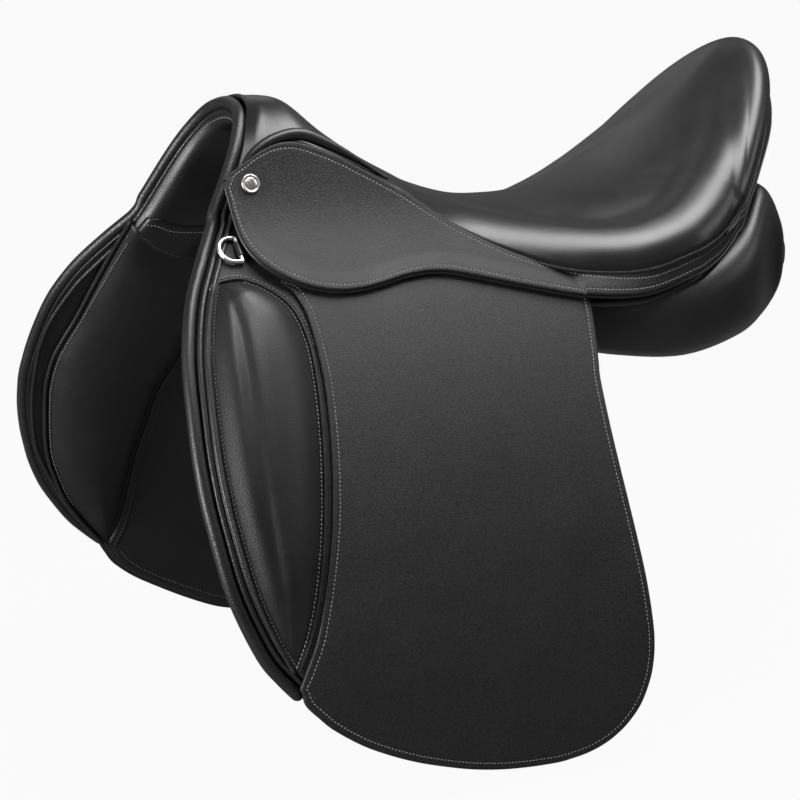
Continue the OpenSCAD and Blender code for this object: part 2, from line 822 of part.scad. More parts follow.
function below(list, gap) = [for (p = list) if (p[1] > flap_bend_s(p[0]) + gap) p];
function topped(list, gap) = concat(
  list,
  [[list[len(list) - 1][0], flap_bend_s(list[len(list) - 1][0]) + gap]],
  [[list[0][0], flap_bend_s(list[0][0]) + gap]]
);
base_inset = [
  for (i = [0 : len(edge) - 1])
    i < toe - 3 ? roll_d / 2 + 5.5 : max(1.5, (roll_d / 2 + 5.5) * (1 - (i - toe + 3) / 6))
];
module flap_base() {
  color(grain)
    sheet(topped(below(inset(edge, base_inset), bend_gap + 1), bend_gap), flap_low, flap_high, 70);
}

module flap_panel() {
  front_line = below(overlay_front, bend_gap + 1);
  rest = below([for (i = [toe + 1 : len(edge) - 1]) inset(edge, 0.5)[i]], bend_gap + 1);
  color(grain)
    sheet(topped(concat(front_line, rest), bend_gap), panel_low, panel_high, 70);
}

block_outline = round_off([
  fore(46, 58), fore(67, 59), fore(84, 68), fore(90, 100), fore(84, 157), fore(69, 230), fore(52, 286),
  fore(32, 258), fore(18, 200), fore(18, 138), fore(30, 80)
], 3);
module knee_block() {
  rings = [1, 0.97, 0.86, 0.68, 0.45, 0.2];
  rise = [0.05, 0.35, 0.72, 0.93, 1, 1, 1];
  color(grain)
    pad(block_outline, fore(52, 160), rings,
      [for (r = rise) flap_high + layer_gap + 0.2],
      [for (r = rise) flap_high + layer_gap + 0.2 + block_height * r]);
}

module flap_piping() {
  line = below(inset(edge, roll_d / 2 + 5.5 - flap_piping_d / 2 - 0.3), bend_gap + 2);
  part = [for (p = line) if (p[0] > flap_front - 70 && p[1] < fore(0, 262)[1]) p];
  path = [for (p = part) side(p[0], p[1], flap_high - 1)];
  color(grain)
    roll(path, flap_piping_d / 2, [1, 0, 0], 6);
}

module sweat_flap() {
  line = inset(edge, roll_d / 2 + 0.4);
  outline = concat(
    [for (p = line) if (p[1] > 8 && (p[0] > 150 || p[1] > 66)) p],
    [[-flap_back + 4, 62], [90, 50], [bar_front - 46, 44], [bar_front + 8, 40], [flap_front - 58, 12]]
  );
  color(black)
    sheet(outline, -sweat_leather, 0, 70);
}

forepart_outline = round_off([
  fore(64, 42), fore(46, 50), fore(30, 95), fore(22, 150), fore(24, 205), fore(42, 262), fore(66, 300),
  fore(78, 272), fore(92, 222), fore(108, 165), fore(122, 110), fore(122, 64), fore(96, 46)
], 3);
module forepart() {
  rings = [1, 0.96, 0.84, 0.66, 0.4];
  rise = [0.05, 0.38, 0.74, 0.94, 1, 1];
  face = sweat_leather + layer_gap + 0.3;
  color(black)
    pad(forepart_outline, fore(66, 150), rings,
      [for (r = rise) -face - forepart_depth * r],
      [for (r = rise) -face]);
}

// Panels: x, outer half width, lowest and highest line at each station
panel_table = [
  [142, 52, 60, 96], [104, 64, 34, 84], [62, 84, 13, 66], [20, 102, 0, 50], [-22, 114, -8, 42],
  [-66, 128, -16, 42], [-112, 138, -19, 47], [-160, 130, -10, 61], [-198, 104, -3, 77], [-213, 98, 12, 83],
  [-228, 80, 30, 66], [-236, 68, 41, 57]
];
panel_back = (seat_back - 9) / 236;
// Middle and half sizes of the panel at each station
panel_rows = [
  for (q = smooth(panel_table, 2)) let (low = q[2] > 0 ? q[2] : q[2] * panel_drop / 19) [
    q[0] < 0 ? q[0] * panel_back : q[0],
    (q[1] + channel_half) / 2,
    (q[3] + low) / 2,
    (q[1] - channel_half) / 2,
    (q[3] - low) / 2
  ]
];
module panel_cushion() {
  n = 16;
  rings = [
    for (q = panel_rows) [
      for (k = [0 : n - 1]) let (w = 360 * k / n) [
        q[0],
        q[1] + q[3] * sign(cos(w)) * pow(abs(cos(w)), 0.75),
        q[2] + q[4] * sign(sin(w)) * pow(abs(sin(w)), 0.75)
      ]
    ]
  ];
  color(black)
    loft(rings);
}

// Girth straps

module girth_strap(x) {
  tip = strap_top + strap_length;
  half = strap_width / 2;
  outline = concat(
    [[x - half, strap_top - 12], [x + half, strap_top - 12]],
    [for (a = [0 : 15 : 180]) [x + half * cos(a), tip + half * sin(a)]]
  );
  color(black)
    difference() {
      sheet(outline, strap_low, strap_high, 70);
      for (k = [0 : 4])
        on_side(x, tip - 4 - k * strap_pitch, strap_low - 4)
          cylinder(d = strap_hole_d, h = strap_thick + 8);
    }
}

tree_head();
tree_rail(9, 12);  // tree_rail_left
tree_rail(2, 5);  // tree_rail_right
tree_cantle();
gullet_plate();
tree_rivets();
seat_springs();
seat_webbing();
seat_foam();
seat_cover();
seat_welt();
cantle_band();
cantle_welt();
pommel_welt();
front_roll();
pommel_facing();
gullet_lining();
gullet_piping();
channel_lining();
left() skirt_roll();  // skirt_roll_left
right() skirt_roll();  // skirt_roll_right
left() skirt_top();  // skirt_top_left
right() skirt_top();  // skirt_top_right
left() skirt_flap();  // skirt_flap_left
right() skirt_flap();  // skirt_flap_right
studs();
left() stirrup_bar();  // stirrup_bar_left
right() stirrup_bar();  // stirrup_bar_right
left() stirrup_catch();  // stirrup_catch_left
right() stirrup_catch();  // stirrup_catch_right
catch_pins();
left() dee_ring();  // dee_ring_left
right() dee_ring();  // dee_ring_right
left() dee_chape();  // dee_chape_left
right() dee_chape();  // dee_chape_right
left() flap_head();  // flap_head_left
right() flap_head();  // flap_head_right
left() flap_base();  // flap_base_left
right() flap_base();  // flap_base_right
left() flap_panel();  // flap_panel_left
right() flap_panel();  // flap_panel_right
left() knee_block();  // knee_block_left
right() knee_block();  // knee_block_right
left() flap_piping();  // flap_piping_left
right() flap_piping();  // flap_piping_right
left() sweat_flap();  // sweat_flap_left
right() sweat_flap();  // sweat_flap_right
left() forepart();  // forepart_left
right() forepart();  // forepart_right
left() panel_cushion();  // panel_cushion_left
right() panel_cushion();  // panel_cushion_right
left() girth_strap(strap_front_x);  // girth_strap_front_left
right() girth_strap(strap_front_x);  // girth_strap_front_right
left() girth_strap(strap_rear_x);  // girth_strap_rear_left
right() girth_strap(strap_rear_x);  // girth_strap_rear_right
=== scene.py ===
import math

import bpy
import numpy as np
from mathutils import Matrix, Vector, geometry


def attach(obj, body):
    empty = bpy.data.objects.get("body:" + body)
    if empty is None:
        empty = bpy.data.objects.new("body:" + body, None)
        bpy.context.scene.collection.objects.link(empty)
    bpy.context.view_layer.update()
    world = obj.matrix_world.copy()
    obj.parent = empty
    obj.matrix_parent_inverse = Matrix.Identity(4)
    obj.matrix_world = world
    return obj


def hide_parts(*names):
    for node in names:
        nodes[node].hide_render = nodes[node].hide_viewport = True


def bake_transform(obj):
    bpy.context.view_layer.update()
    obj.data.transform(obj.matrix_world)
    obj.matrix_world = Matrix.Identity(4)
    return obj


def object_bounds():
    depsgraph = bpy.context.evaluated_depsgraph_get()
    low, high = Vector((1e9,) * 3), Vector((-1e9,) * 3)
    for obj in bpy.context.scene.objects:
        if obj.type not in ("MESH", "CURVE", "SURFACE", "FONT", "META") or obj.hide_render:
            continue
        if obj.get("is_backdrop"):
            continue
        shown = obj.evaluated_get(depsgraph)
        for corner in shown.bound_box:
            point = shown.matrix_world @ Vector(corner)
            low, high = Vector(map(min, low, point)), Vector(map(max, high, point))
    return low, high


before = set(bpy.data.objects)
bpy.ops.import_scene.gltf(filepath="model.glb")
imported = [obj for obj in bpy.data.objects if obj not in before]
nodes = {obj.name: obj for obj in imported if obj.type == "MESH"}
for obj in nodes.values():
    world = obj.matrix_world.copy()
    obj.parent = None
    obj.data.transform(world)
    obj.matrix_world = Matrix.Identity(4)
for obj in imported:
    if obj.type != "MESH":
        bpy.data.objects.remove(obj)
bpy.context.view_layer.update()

SIDES = ("left", "right")

# Lengths below are in millimetres and become metres when a mesh is made.
# Pieces on the side of the saddle lie on a curved side face: x along the saddle, s down the side,
# o outward. The left half is described, and the right half is its mirror image.
SIDE_R, SIDE_HALF, SIDE_TOP, THROAT_R = 460.0, 73.0, 79.0, 31.5
STEEP = math.radians(85)
ROOT = math.sqrt(0.5)
SIDE_Y, SIDE_Z = SIDE_HALF - SIDE_R * ROOT, SIDE_TOP - SIDE_R * ROOT
THROAT_Y, THROAT_Z = SIDE_HALF + THROAT_R * ROOT, SIDE_TOP + THROAT_R * ROOT
THROAT_RUN = THROAT_R * math.radians(40)


def slope(s):
    s = np.asarray(s, float)
    return math.pi / 4 + np.where(s >= 0, s / SIDE_R, np.minimum(-s, THROAT_RUN) / THROAT_R)


def outward(s):
    a = slope(s)
    return np.stack([np.zeros_like(a), np.sin(a), np.cos(a)], -1)


def side(x, s, o):
    x, s, o = np.broadcast_arrays(*[np.asarray(a, float) for a in (x, s, o)])
    n = outward(s)
    ny, nz = n[..., 1], n[..., 2]
    up = np.maximum(-s - THROAT_RUN, 0)
    y = np.where(s >= 0, SIDE_Y + SIDE_R * ny, THROAT_Y - THROAT_R * ny - up * math.cos(STEEP))
    z = np.where(s >= 0, SIDE_Z + SIDE_R * nz, THROAT_Z - THROAT_R * nz + up * math.sin(STEEP))
    return np.stack([x, y + o * ny, z + o * nz], -1)


# Curves


def length_along(p):
    return np.concatenate([[0], np.cumsum(np.linalg.norm(np.diff(p, axis=0), axis=1))])


def at_run(at, run, p):
    return np.stack([np.interp(at, run, p[:, k]) for k in range(p.shape[1])], -1)


def resample(p, step=None, count=None):
    p = np.asarray(p, float)
    run = length_along(p)
    n = count or max(2, int(round(run[-1] / step)) + 1)
    return at_run(np.linspace(0, run[-1], n), run, p)


# A closed line through the given parts
def loop(step, *parts):
    p = np.vstack(parts)
    return resample(np.vstack([p, p[:1]]), step)[:-1]


def catmull(points, parts=14):
    p = np.asarray(points, float)
    n = len(p)
    e = np.vstack([2 * p[0] - p[1], p, 2 * p[-1] - p[-2]])
    a, b, c, d = (e[k : n - 1 + k, None, :] for k in range(4))
    t = (np.arange(parts) / parts)[None, :, None]
    out = 0.5 * (
        2 * b
        + (c - a) * t
        + (2 * a - 5 * b + 4 * c - d) * t**2
        + (3 * b - a - 3 * c + d) * t**3
    )
    return np.vstack([out.reshape(-1, p.shape[1]), p[-1:]])


def spline(points, step=2.0, count=None):
    return resample(catmull(points), step, count)


def tangents(p, closed=False):
    if closed:
        t = np.roll(p, -1, axis=0) - np.roll(p, 1, axis=0)
    else:
        t = np.gradient(p, axis=0)
    return t / np.maximum(np.linalg.norm(t, axis=1, keepdims=True), 1e-9)


def smoothstep(a, b, x):
    t = np.clip((np.asarray(x, float) - a) / (b - a), 0, 1)
    return t * t * (3 - 2 * t)


def unit(v):
    return v / np.maximum(np.linalg.norm(v, axis=-1, keepdims=True), 1e-9)


# A line on the side face moved across it, to the rear of the direction of travel
def moved(line, d):
    t = tangents(line)
    return line + np.asarray(d, float).reshape(-1, 1) * np.stack([-t[:, 1], t[:, 0]], -1)


# Meshes


def placed(name, data):
    obj = bpy.data.objects.new(name, data)
    bpy.context.scene.collection.objects.link(obj)
    return obj


def make(name, verts, faces, mats, flip=False, index=None):
    v = np.asarray(verts, float) * 0.001
    mesh = bpy.data.meshes.new(name)
    if flip:
        v[:, 1] *= -1
        faces = [tuple(reversed(f)) for f in faces]
    mesh.from_pydata(v.tolist(), [], faces)
    for m in mats if isinstance(mats, list) else [mats]:
        mesh.materials.append(m)
    if index is not None:
        mesh.polygons.foreach_set("material_index", np.asarray(index, np.int32))
    mesh.polygons.foreach_set("use_smooth", np.ones(len(mesh.polygons), bool))
    mesh.update()
    return placed(name, mesh)


def grid_faces(rows, cols, base=0, around=False, reverse=False):
    out = []
    for i in range(rows - 1):
        for j in range(cols if around else cols - 1):
            a = base + i * cols + j
            b = base + i * cols + (j + 1) % cols
            q = (a, b, b + cols, a + cols)
            out.append(tuple(reversed(q)) if reverse else q)
    return out


# Faces of a closed tube of rings, with both ends
def tube_faces(rings, sides):
    last = (rings - 1) * sides
    ends = [tuple(range(sides - 1, -1, -1)), tuple(range(last, last + sides))]
    return grid_faces(rings, sides, around=True) + ends


def grid_normals(p):
    u = np.gradient(p, axis=0)
    v = np.gradient(p, axis=1)
    return unit(np.cross(u, v))


# Vertices and faces of two grids that face away from each other
def two_faces(p, back, reverse):
    shape = p.shape[:2]
    faces = grid_faces(*shape, reverse=reverse)
    faces += grid_faces(*shape, base=shape[0] * shape[1], reverse=not reverse)
    return np.vstack([p.reshape(-1, 3), back.reshape(-1, 3)]), faces


# Grid between two lines, at shares w of the way across
def between(a, b, w):
    return a[:, None, :] * (1 - w)[None, :, None] + b[:, None, :] * w[None, :, None]


# A slab from a grid of its outer face, with its back a given depth below
def slab(name, p, depth, mats, flip=False, reverse=False):
    rows, cols = p.shape[:2]
    n = grid_normals(p) * (-1 if reverse else 1)
    verts, faces = two_faces(p, p - n * np.asarray(depth, float)[..., None], reverse)
    ring = (
        [(0, j) for j in range(cols)]
        + [(i, cols - 1) for i in range(1, rows)]
        + [(rows - 1, j) for j in range(cols - 2, -1, -1)]
        + [(i, 0) for i in range(rows - 2, 0, -1)]
    )
    ids = [i * cols + j for i, j in ring]
    size = rows * cols
    for a, b in zip(ids, ids[1:] + ids[:1]):
        q = (a, a + size, b + size, b)
        faces.append(tuple(reversed(q)) if reverse else q)
    return make(name, verts, faces, mats, flip)


# Frames along a path that don't twist
def frames(p, ref):
    t = tangents(p)
    n = np.zeros_like(p)
    v = np.asarray(ref, float)
    for i in range(len(p)):
        v = v - t[i] * (v @ t[i])
        v = v / max(np.linalg.norm(v), 1e-9)
        n[i] = v
    return t, n, np.cross(t, n)


def tube(name, p, radius, mats, flip=False, sides=14, ref=(0, 0, 1)):
    p = np.asarray(p, float)
    r = np.broadcast_to(np.asarray(radius, float), (len(p),)).copy()
    t, n, b = frames(p, ref)
    ends = [(0.92, 0.38), (0.7, 0.72), (0.35, 0.94), (0.04, 1.0)]
    rings = [(p[0] - t[0] * r[0] * k, r[0] * f, 0) for f, k in reversed(ends)]
    rings += [(p[i], r[i], i) for i in range(len(p))]
    rings += [(p[-1] + t[-1] * r[-1] * k, r[-1] * f, len(p) - 1) for f, k in ends]
    a = np.arange(sides) * 2 * math.pi / sides
    verts = np.concatenate(
        [
            c + q * (np.cos(a)[:, None] * n[i] + np.sin(a)[:, None] * b[i])
            for c, q, i in rings
        ]
    )
    return make(name, verts, tube_faces(len(rings), sides), mats, flip)


def inside(points, poly):
    x, y = points[:, 0][:, None], points[:, 1][:, None]
    a, b = poly, np.roll(poly, -1, axis=0)
    hit = (a[:, 1] > y) != (b[:, 1] > y)
    cross = (b[:, 0] - a[:, 0]) * (y - a[:, 1]) / (b[:, 1] - a[:, 1] + 1e-12) + a[:, 0]
    return (np.sum(hit & (x < cross), axis=1) % 2) == 1


def nearest(points, poly):
    out = np.full(len(points), 1e9)
    for k in range(0, len(poly), 64):
        q = poly[k : k + 64]
        d = np.linalg.norm(points[:, None, :] - q[None, :, :], axis=2).min(1)
        out = np.minimum(out, d)
    return out


# Inward offsets of a closed outline that never cross at a tight corner
class Outline:
    def __init__(self, points, reach):
        p = np.asarray(points, float)
        turn = np.sum(p[:, 0] * np.roll(p[:, 1], -1) - np.roll(p[:, 0], -1) * p[:, 1])
        self.p = p if turn > 0 else p[::-1].copy()
        t = tangents(self.p, True)
        n = np.stack([-t[:, 1], t[:, 0]], -1)
        for _ in range(3):
            n = unit(n + 0.5 * (np.roll(n, 1, 0) + np.roll(n, -1, 0)))
        self.n = n
        share = np.ones(len(p))
        edge = np.roll(self.p, -1, 0) - self.p
        for _ in range(60):
            q = self.p + n * (reach * share)[:, None]
            bad = np.sum((np.roll(q, -1, 0) - q) * edge, 1) < 0.2 * np.sum(edge * edge, 1)
            if not bad.any():
                break
            wide = bad | np.roll(bad, 1) | np.roll(bad, -1) | np.roll(bad, 2)
            share[wide] *= 0.85
            share = np.minimum(
                share, 0.5 * share + 0.25 * (np.roll(share, 1) + np.roll(share, -1))
            )
        self.share = share

    def inset(self, d):
        return self.p + self.n * (d * self.share)[:, None]


def filled(border, cell):
    lo, hi = border.min(0), border.max(0)
    xs = np.arange(lo[0], hi[0], cell)
    ys = np.arange(lo[1], hi[1], cell * 0.87)
    gx, gy = np.meshgrid(xs, ys)
    gx[1::2] += cell / 2
    pts = np.stack([gx.ravel(), gy.ravel()], -1)
    pts = pts[inside(pts, border)]
    pts = pts[nearest(pts, border) > cell * 0.55]
    n = len(border)
    both = np.vstack([border, pts])
    out = geometry.delaunay_2d_cdt(
        [Vector(q) for q in both.tolist()], [], [list(range(n))], 1, 1e-6
    )
    found = np.array([list(v) for v in out[0]])
    first = [ids[0] if ids else -1 for ids in out[3]]
    extra = []
    for k, i in enumerate(first):
        if i < 0:
            first[k] = len(both) + len(extra)
            extra.append(found[k])
    if extra:
        both = np.vstack([both, extra])
    return both, [tuple(first[i] for i in f) for f in out[2]]


def level(x, s):
    return np.zeros_like(x)


# Leather plate between two heights above the side face. lift bends it, and groove is the distance
# of a sewn line from the edge.
def plate(name, points, low, high, mats, flip=False, lift=level, groove=None, cell=8.0):
    # Radius of the edge, and depth of the sewn line
    r, sink = 1.3, 0.28
    reach = (groove or 1.5) + 2.6
    line = Outline(points, reach)
    top = [(0, r), (0.07 * r, 0.6 * r), (0.3 * r, 0.28 * r), (0.62 * r, 0.07 * r), (r, 0)]
    if groove:
        dips = ((-1.1, 0), (-0.5, 0.75), (0, 1), (0.5, 0.75), (1.1, 0))
        top += [(groove + d, sink * k) for d, k in dips]
    top += [(reach, 0)]
    low_r = min(r * 0.6, (high - low) / 2 - 0.1)
    under = [(0, low_r), (0.1 * low_r, low_r * 0.5), (0.5 * low_r, low_r * 0.1)]
    under += [(low_r, 0), (reach, 0)]

    def raised(q, o):
        return side(q[:, 0], q[:, 1], o + lift(q[:, 0], q[:, 1]))

    n, k = len(line.p), len(top)
    levels = [(d, high - drop) for d, drop in top] + [(d, low + rise) for d, rise in under]
    pts, tris = filled(line.inset(reach), cell)
    inner = pts[n:]
    verts = [raised(line.inset(d), o) for d, o in levels]
    verts += [raised(inner, o) for o in (high, low)]
    base_top = len(levels) * n
    base_low = base_top + len(inner)
    faces, index = [], []

    def strip(a, b, mat, turn):
        for i in range(n):
            j = (i + 1) % n
            q = (a * n + i, b * n + i, b * n + j, a * n + j)
            faces.append(q if turn else tuple(reversed(q)))
            index.append(mat)

    # Seen from outside the chart's x and s run as a left-handed pair
    for i in range(k - 1):
        strip(i, i + 1, 1 if i < 2 else 0, True)
    strip(0, k, 1, False)
    for i in range(k, len(levels) - 1):
        strip(i, i + 1, 1 if i < k + 1 else 2, False)
    ids = range(len(pts))
    top_id = [(k - 1) * n + i if i < n else base_top + i - n for i in ids]
    low_id = [base_top - n + i if i < n else base_low + i - n for i in ids]
    for f in tris:
        a = pts[list(f)]
        area = np.cross(a[1] - a[0], a[2] - a[0])
        g = f if area > 0 else tuple(reversed(f))
        faces.append(tuple(top_id[i] for i in reversed(g)))
        faces.append(tuple(low_id[i] for i in g))
        index += [0, 2]
    return make(name, np.vstack(verts), faces, mats, flip, index), line


# Sewn stitches along a line, each a short thread that dips into the leather at both ends
def stitches(name, lines, mat, flip=False, thick=0.42):
    pitch, long, slant, ring = 2.7, 1.9, 0.16, 6
    ang = np.arange(ring) * 2 * math.pi / ring
    # Along a stitch: place, thickness and height
    shape = [(-1, 0.3, -0.5), (-0.72, 0.85, -0.05), (0, 1, 0.22), (0.72, 0.85, -0.05)]
    shape += [(1, 0.3, -0.5)]
    one = tube_faces(5, ring)
    verts, faces = [], []
    for p, normal in lines:
        run = length_along(p)
        n = int(run[-1] / pitch)
        if n < 1:
            continue
        at = (np.arange(n) + 0.5) * run[-1] / n
        c, m = at_run(at, run, p), unit(at_run(at, run, normal))
        t = at_run(np.minimum(at + 0.6, run[-1]), run, p) - c
        t = unit(t - m * np.sum(t * m, 1, keepdims=True))
        t = unit(t + np.cross(m, t) * slant)
        b = np.cross(m, t)
        for k in range(n):
            base = len(verts) * ring
            faces += [tuple(i + base for i in q) for q in one]
            across = np.cos(ang)[:, None] * b[k] * 0.95 + np.sin(ang)[:, None] * m[k] * 0.8
            for u, f, d in shape:
                mid = c[k] + t[k] * (u * long / 2) + m[k] * d * thick
                verts.append(mid + thick * f * across)
    return make(name, np.vstack(verts), faces, mat, flip)


# Materials


def material(name):
    m = bpy.data.materials.new(name)
    m.use_nodes = True
    t = m.node_tree
    where = t.nodes.new("ShaderNodeTexCoord").outputs["Object"]
    return m, t, t.nodes["Principled BSDF"], where


def node(tree, kind, **values):
    n = tree.nodes.new(kind)
    for k, v in values.items():
        if k in n.inputs:
            n.inputs[k].default_value = v
        else:
            setattr(n, k, v)
    return n


def ramp(tree, source, *stops):
    r = tree.nodes.new("ShaderNodeValToRGB")
    for e, (at, c) in zip(r.color_ramp.elements, stops):
        e.position = at
        e.color = (*c, 1) if isinstance(c, tuple) else (c, c, c, 1)
    tree.links.new(source, r.inputs[0])
    return r.outputs[0]


def noise(tree, where, scale, detail, rough=0.5, **more):
    n = node(tree, "ShaderNodeTexNoise", Scale=scale, Detail=detail, Roughness=rough, **more)
    tree.links.new(where, n.inputs["Vector"])
    return n.outputs


def bump(tree, height, strength, deep, under=None):
    n = node(tree, "ShaderNodeBump", Strength=strength, Distance=deep * 0.001)
    tree.links.new(height, n.inputs["Height"])
    if under:
        tree.links.new(under, n.inputs["Normal"])
    return n.outputs[0]


def multiply(tree, a, b, factor):
    n = node(tree, "ShaderNodeMix", data_type="RGBA", blend_type="MULTIPLY")
    n.inputs["Factor"].default_value = factor
    tree.links.new(a, n.inputs["A"])
    tree.links.new(b, n.inputs["B"])
    return n.outputs["Result"]


# Sets plain values on a shader and links sockets to it
def feed(tree, shader, values):
    for key, v in values.items():
        if isinstance(v, (int, float, tuple)):
            shader.inputs[key].default_value = v
        else:
            tree.links.new(v, shader.inputs[key])


# Black leather: pebbles of a given size in mm, their height in mm, gloss and tone, and the
# strength of painted shade in the pebble valleys with painted light on their tops
def leather(name, tone, pebble, height, rough, crease=0.0, spec=0.5, valley_shade=0.1, sheen=0.0):
    m, t, shader, where = material(name)
    soft = noise(t, where, 23.0, 5.0, 0.6)["Fac"]
    speck = noise(t, where, 520.0, 3.0, 0.6)["Fac"]
    big = ramp(t, soft, (0.3, tone * 0.8), (0.7, tone * 1.22))
    tint = multiply(t, big, ramp(t, speck, (0.35, 0.86), (0.65, 1.1)), 0.75)
    # Pebbles shift with a little noise, so that they don't read as cells
    warp = noise(t, where, 700.0 / pebble, 2.0)["Color"]
    shift = node(t, "ShaderNodeVectorMath", operation="SCALE")
    shift.inputs["Scale"].default_value = 0.0007 * pebble
    t.links.new(warp, shift.inputs[0])
    shifted = node(t, "ShaderNodeVectorMath", operation="ADD")
    t.links.new(where, shifted.inputs[0])
    t.links.new(shift.outputs[0], shifted.inputs[1])
    cells = node(t, "ShaderNodeTexVoronoi", feature="SMOOTH_F1", Scale=1000.0 / pebble)
    cells.inputs["Smoothness"].default_value = 0.45
    t.links.new(shifted.outputs[0], cells.inputs["Vector"])
    away = cells.outputs["Distance"]
    normal = bump(t, ramp(t, away, (0.1, 1.0), (0.62, 0.0)), 1.0, height)
    # Painted shade darkens the pebble valleys and painted light brightens their tops, so the grain
    # shows in the colour as well as in the bump
    depth = ramp(t, away, (0.12, 1 + 0.35 * valley_shade), (0.6, 1 - valley_shade))
    if crease:
        fold = noise(t, where, 95.0, 6.0, 0.55, Distortion=0.8)["Fac"]
        normal = bump(t, fold, 1.0, crease, normal)
    feed(t, shader, {
        "Normal": normal,
        "Roughness": ramp(t, soft, (0.25, rough - 0.05), (0.75, rough + 0.07)),
        "Base Color": multiply(t, tint, depth, 1.0),
        "Specular IOR Level": spec,
    })
    if sheen:
        feed(t, shader, {"Sheen Weight": sheen, "Sheen Roughness": 0.5})
    return m


def thread(name, tone):
    m, t, shader, where = material(name)
    twist = noise(t, where, 1400.0, 2.0)["Fac"]
    feed(t, shader, {
        "Base Color": ramp(t, twist, (0.3, tone * 0.72), (0.7, tone * 1.15)),
        "Normal": bump(t, twist, 0.6, 0.2),
        "Roughness": 0.62,
        "Sheen Weight": 0.15,
    })
    return m


def metal(name, colour, rough, scratch):
    m, t, shader, where = material(name)
    n = noise(t, where, 260.0, 6.0, 0.7)["Fac"]
    dark, light = (tuple(v * k for v in colour) for k in (0.86, 1.04))
    feed(t, shader, {
        "Base Color": ramp(t, n, (0.3, dark), (0.7, light)),
        "Roughness": ramp(t, n, (0.3, rough * 0.7), (0.75, rough * 1.5)),
        "Normal": bump(t, n, 0.35, scratch),
        "Metallic": 1.0,
    })
    return m


def plain_grain(name, light, dark, stretch, scale, rough):
    m, t, shader, where = material(name)
    size = node(t, "ShaderNodeMapping")
    size.inputs["Scale"].default_value = stretch
    t.links.new(where, size.inputs["Vector"])
    n = noise(t, size.outputs[0], scale, 6.0, 0.65)["Fac"]
    feed(t, shader, {
        "Base Color": ramp(t, n, (0.3, dark), (0.7, light)),
        "Normal": bump(t, n, 0.5, 0.6),
        "Roughness": rough,
    })
    return m


SEAT = leather("seat_leather", 0.011, 0.8, 0.03, 0.33, crease=0.04, valley_shade=0.12)
SMOOTH = leather("smooth_leather", 0.013, 0.9, 0.045, 0.38, crease=0.10, valley_shade=0.15)
GRAIN = leather("grained_leather", 0.028, 0.9, 0.15, 0.60, crease=0.03, spec=0.45, valley_shade=0.6)
ROLL = leather("roll_leather", 0.016, 1.2, 0.09, 0.38, crease=0.06, valley_shade=0.3)
PADDED = leather("padded_leather", 0.010, 0.9, 0.06, 0.44, crease=0.06, valley_shade=0.2)
EDGE = leather("edge_finish", 0.012, 0.7, 0.02, 0.34, crease=0.06)
BACK = leather("flesh_side", 0.016, 0.6, 0.08, 0.72, crease=0.2, spec=0.3, sheen=0.1)
LIGHT_THREAD = thread("light_thread", 0.26)
DARK_THREAD = thread("dark_thread", 0.075)
NICKEL = metal("nickel_plate", (0.82, 0.81, 0.79), 0.28, 0.01)
STEEL = metal("forged_steel", (0.42, 0.42, 0.43), 0.34, 0.05)
BEECH = plain_grain(
    "beech_laminate", (0.52, 0.36, 0.20), (0.34, 0.21, 0.11), (3, 30, 30), 9.0, 0.5
)
WEB = plain_grain("woven_web", (0.62, 0.58, 0.48), (0.40, 0.37, 0.30), (60, 60, 60), 12.0, 0.85)
FOAM = plain_grain("seat_foam", (0.72, 0.66, 0.46), (0.55, 0.49, 0.33), (40, 40, 40), 14.0, 0.9)

HARD = {"tree_cantle": BEECH, "seat_springs": STEEL, "catch_pins": STEEL}
for tag in SIDES:
    HARD["tree_rail_" + tag] = BEECH
    HARD["stirrup_bar_" + tag] = STEEL
    HARD["stirrup_catch_" + tag] = STEEL
    HARD["dee_ring_" + tag] = NICKEL
for key, mat in HARD.items():
    for slot in nodes[key].material_slots:
        slot.material = mat
for tag in SIDES:
    ring = nodes["dee_ring_" + tag].data.polygons
    ring.foreach_set("use_smooth", np.ones(len(ring), bool))


def settle(obj, slot_name, *stands_for, body="saddle"):
    if body:
        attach(obj, body)
    if stands_for:
        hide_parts(*stands_for)


# Hinge lines, and how far above and below them the leather bends
HINGES = {
    "flap": (side(285, 46, 8.15), side(-26, 80, 8.15), 9, 14),
    "skirt": (side(226, -12, 14.3), side(-26, 66, 14.3), 9, 13),
}


# Leather at a hinge line: its stand-in parts are hidden and its mesh is baked in place; the hinge
# and the way down from it are worked out but not used
def hang(obj, kind, tag, slot_name, *stands_for):
    settle(obj, slot_name, *stands_for, body=None)
    a, b, above, below = HINGES[kind]
    mid = (a + b) / 2
    axis = unit(b - a)
    down = np.array([0, mid[2] - SIDE_Z, -(mid[1] - SIDE_Y)])
    down = unit(down - axis * (down @ axis))
    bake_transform(obj)


# The middle of the thick front roll lies this far above the side face
ROLL_O = 2.5
# Line over the arch in the cross plane, from the left side up to the top: the middle of the roll
CROWN = [
    (64.0, 103.5), (61.3, 112), (56.5, 125), (50.6, 136.8), (44.6, 144.6), (37.6, 151.8),
    (29.4, 158.4), (18.6, 162.3), (7.0, 164.6), (0, 165),
]


def arch_line():
    s = np.arange(40, -13, -3.0)
    half = np.vstack([side(0 * s, s, ROLL_O)[:, 1:], CROWN])
    line = np.vstack([half[:-1], (half * [-1, 1])[::-1]])
    line = resample(catmull(line, parts=8), count=321)
    for _ in range(30):
        line[1:-1] = (line[:-2] + 2 * line[1:-1] + line[2:]) / 4
    t = tangents(line)
    line[160, 0] = 0
    return line[:161], np.stack([t[:161, 1], -t[:161, 0]], -1)


ARCH, ARCH_OUT = arch_line()


# The front of the arch leans forward below its top. A depth square to it is longer along x.
ARCH_TOP, ARCH_FRONT, ARCH_LEAN, ARCH_DEPTH = 165, 190, 0.55, 1.1413


def arch_front(z):
    return ARCH_FRONT + ARCH_LEAN * (ARCH_TOP - z)


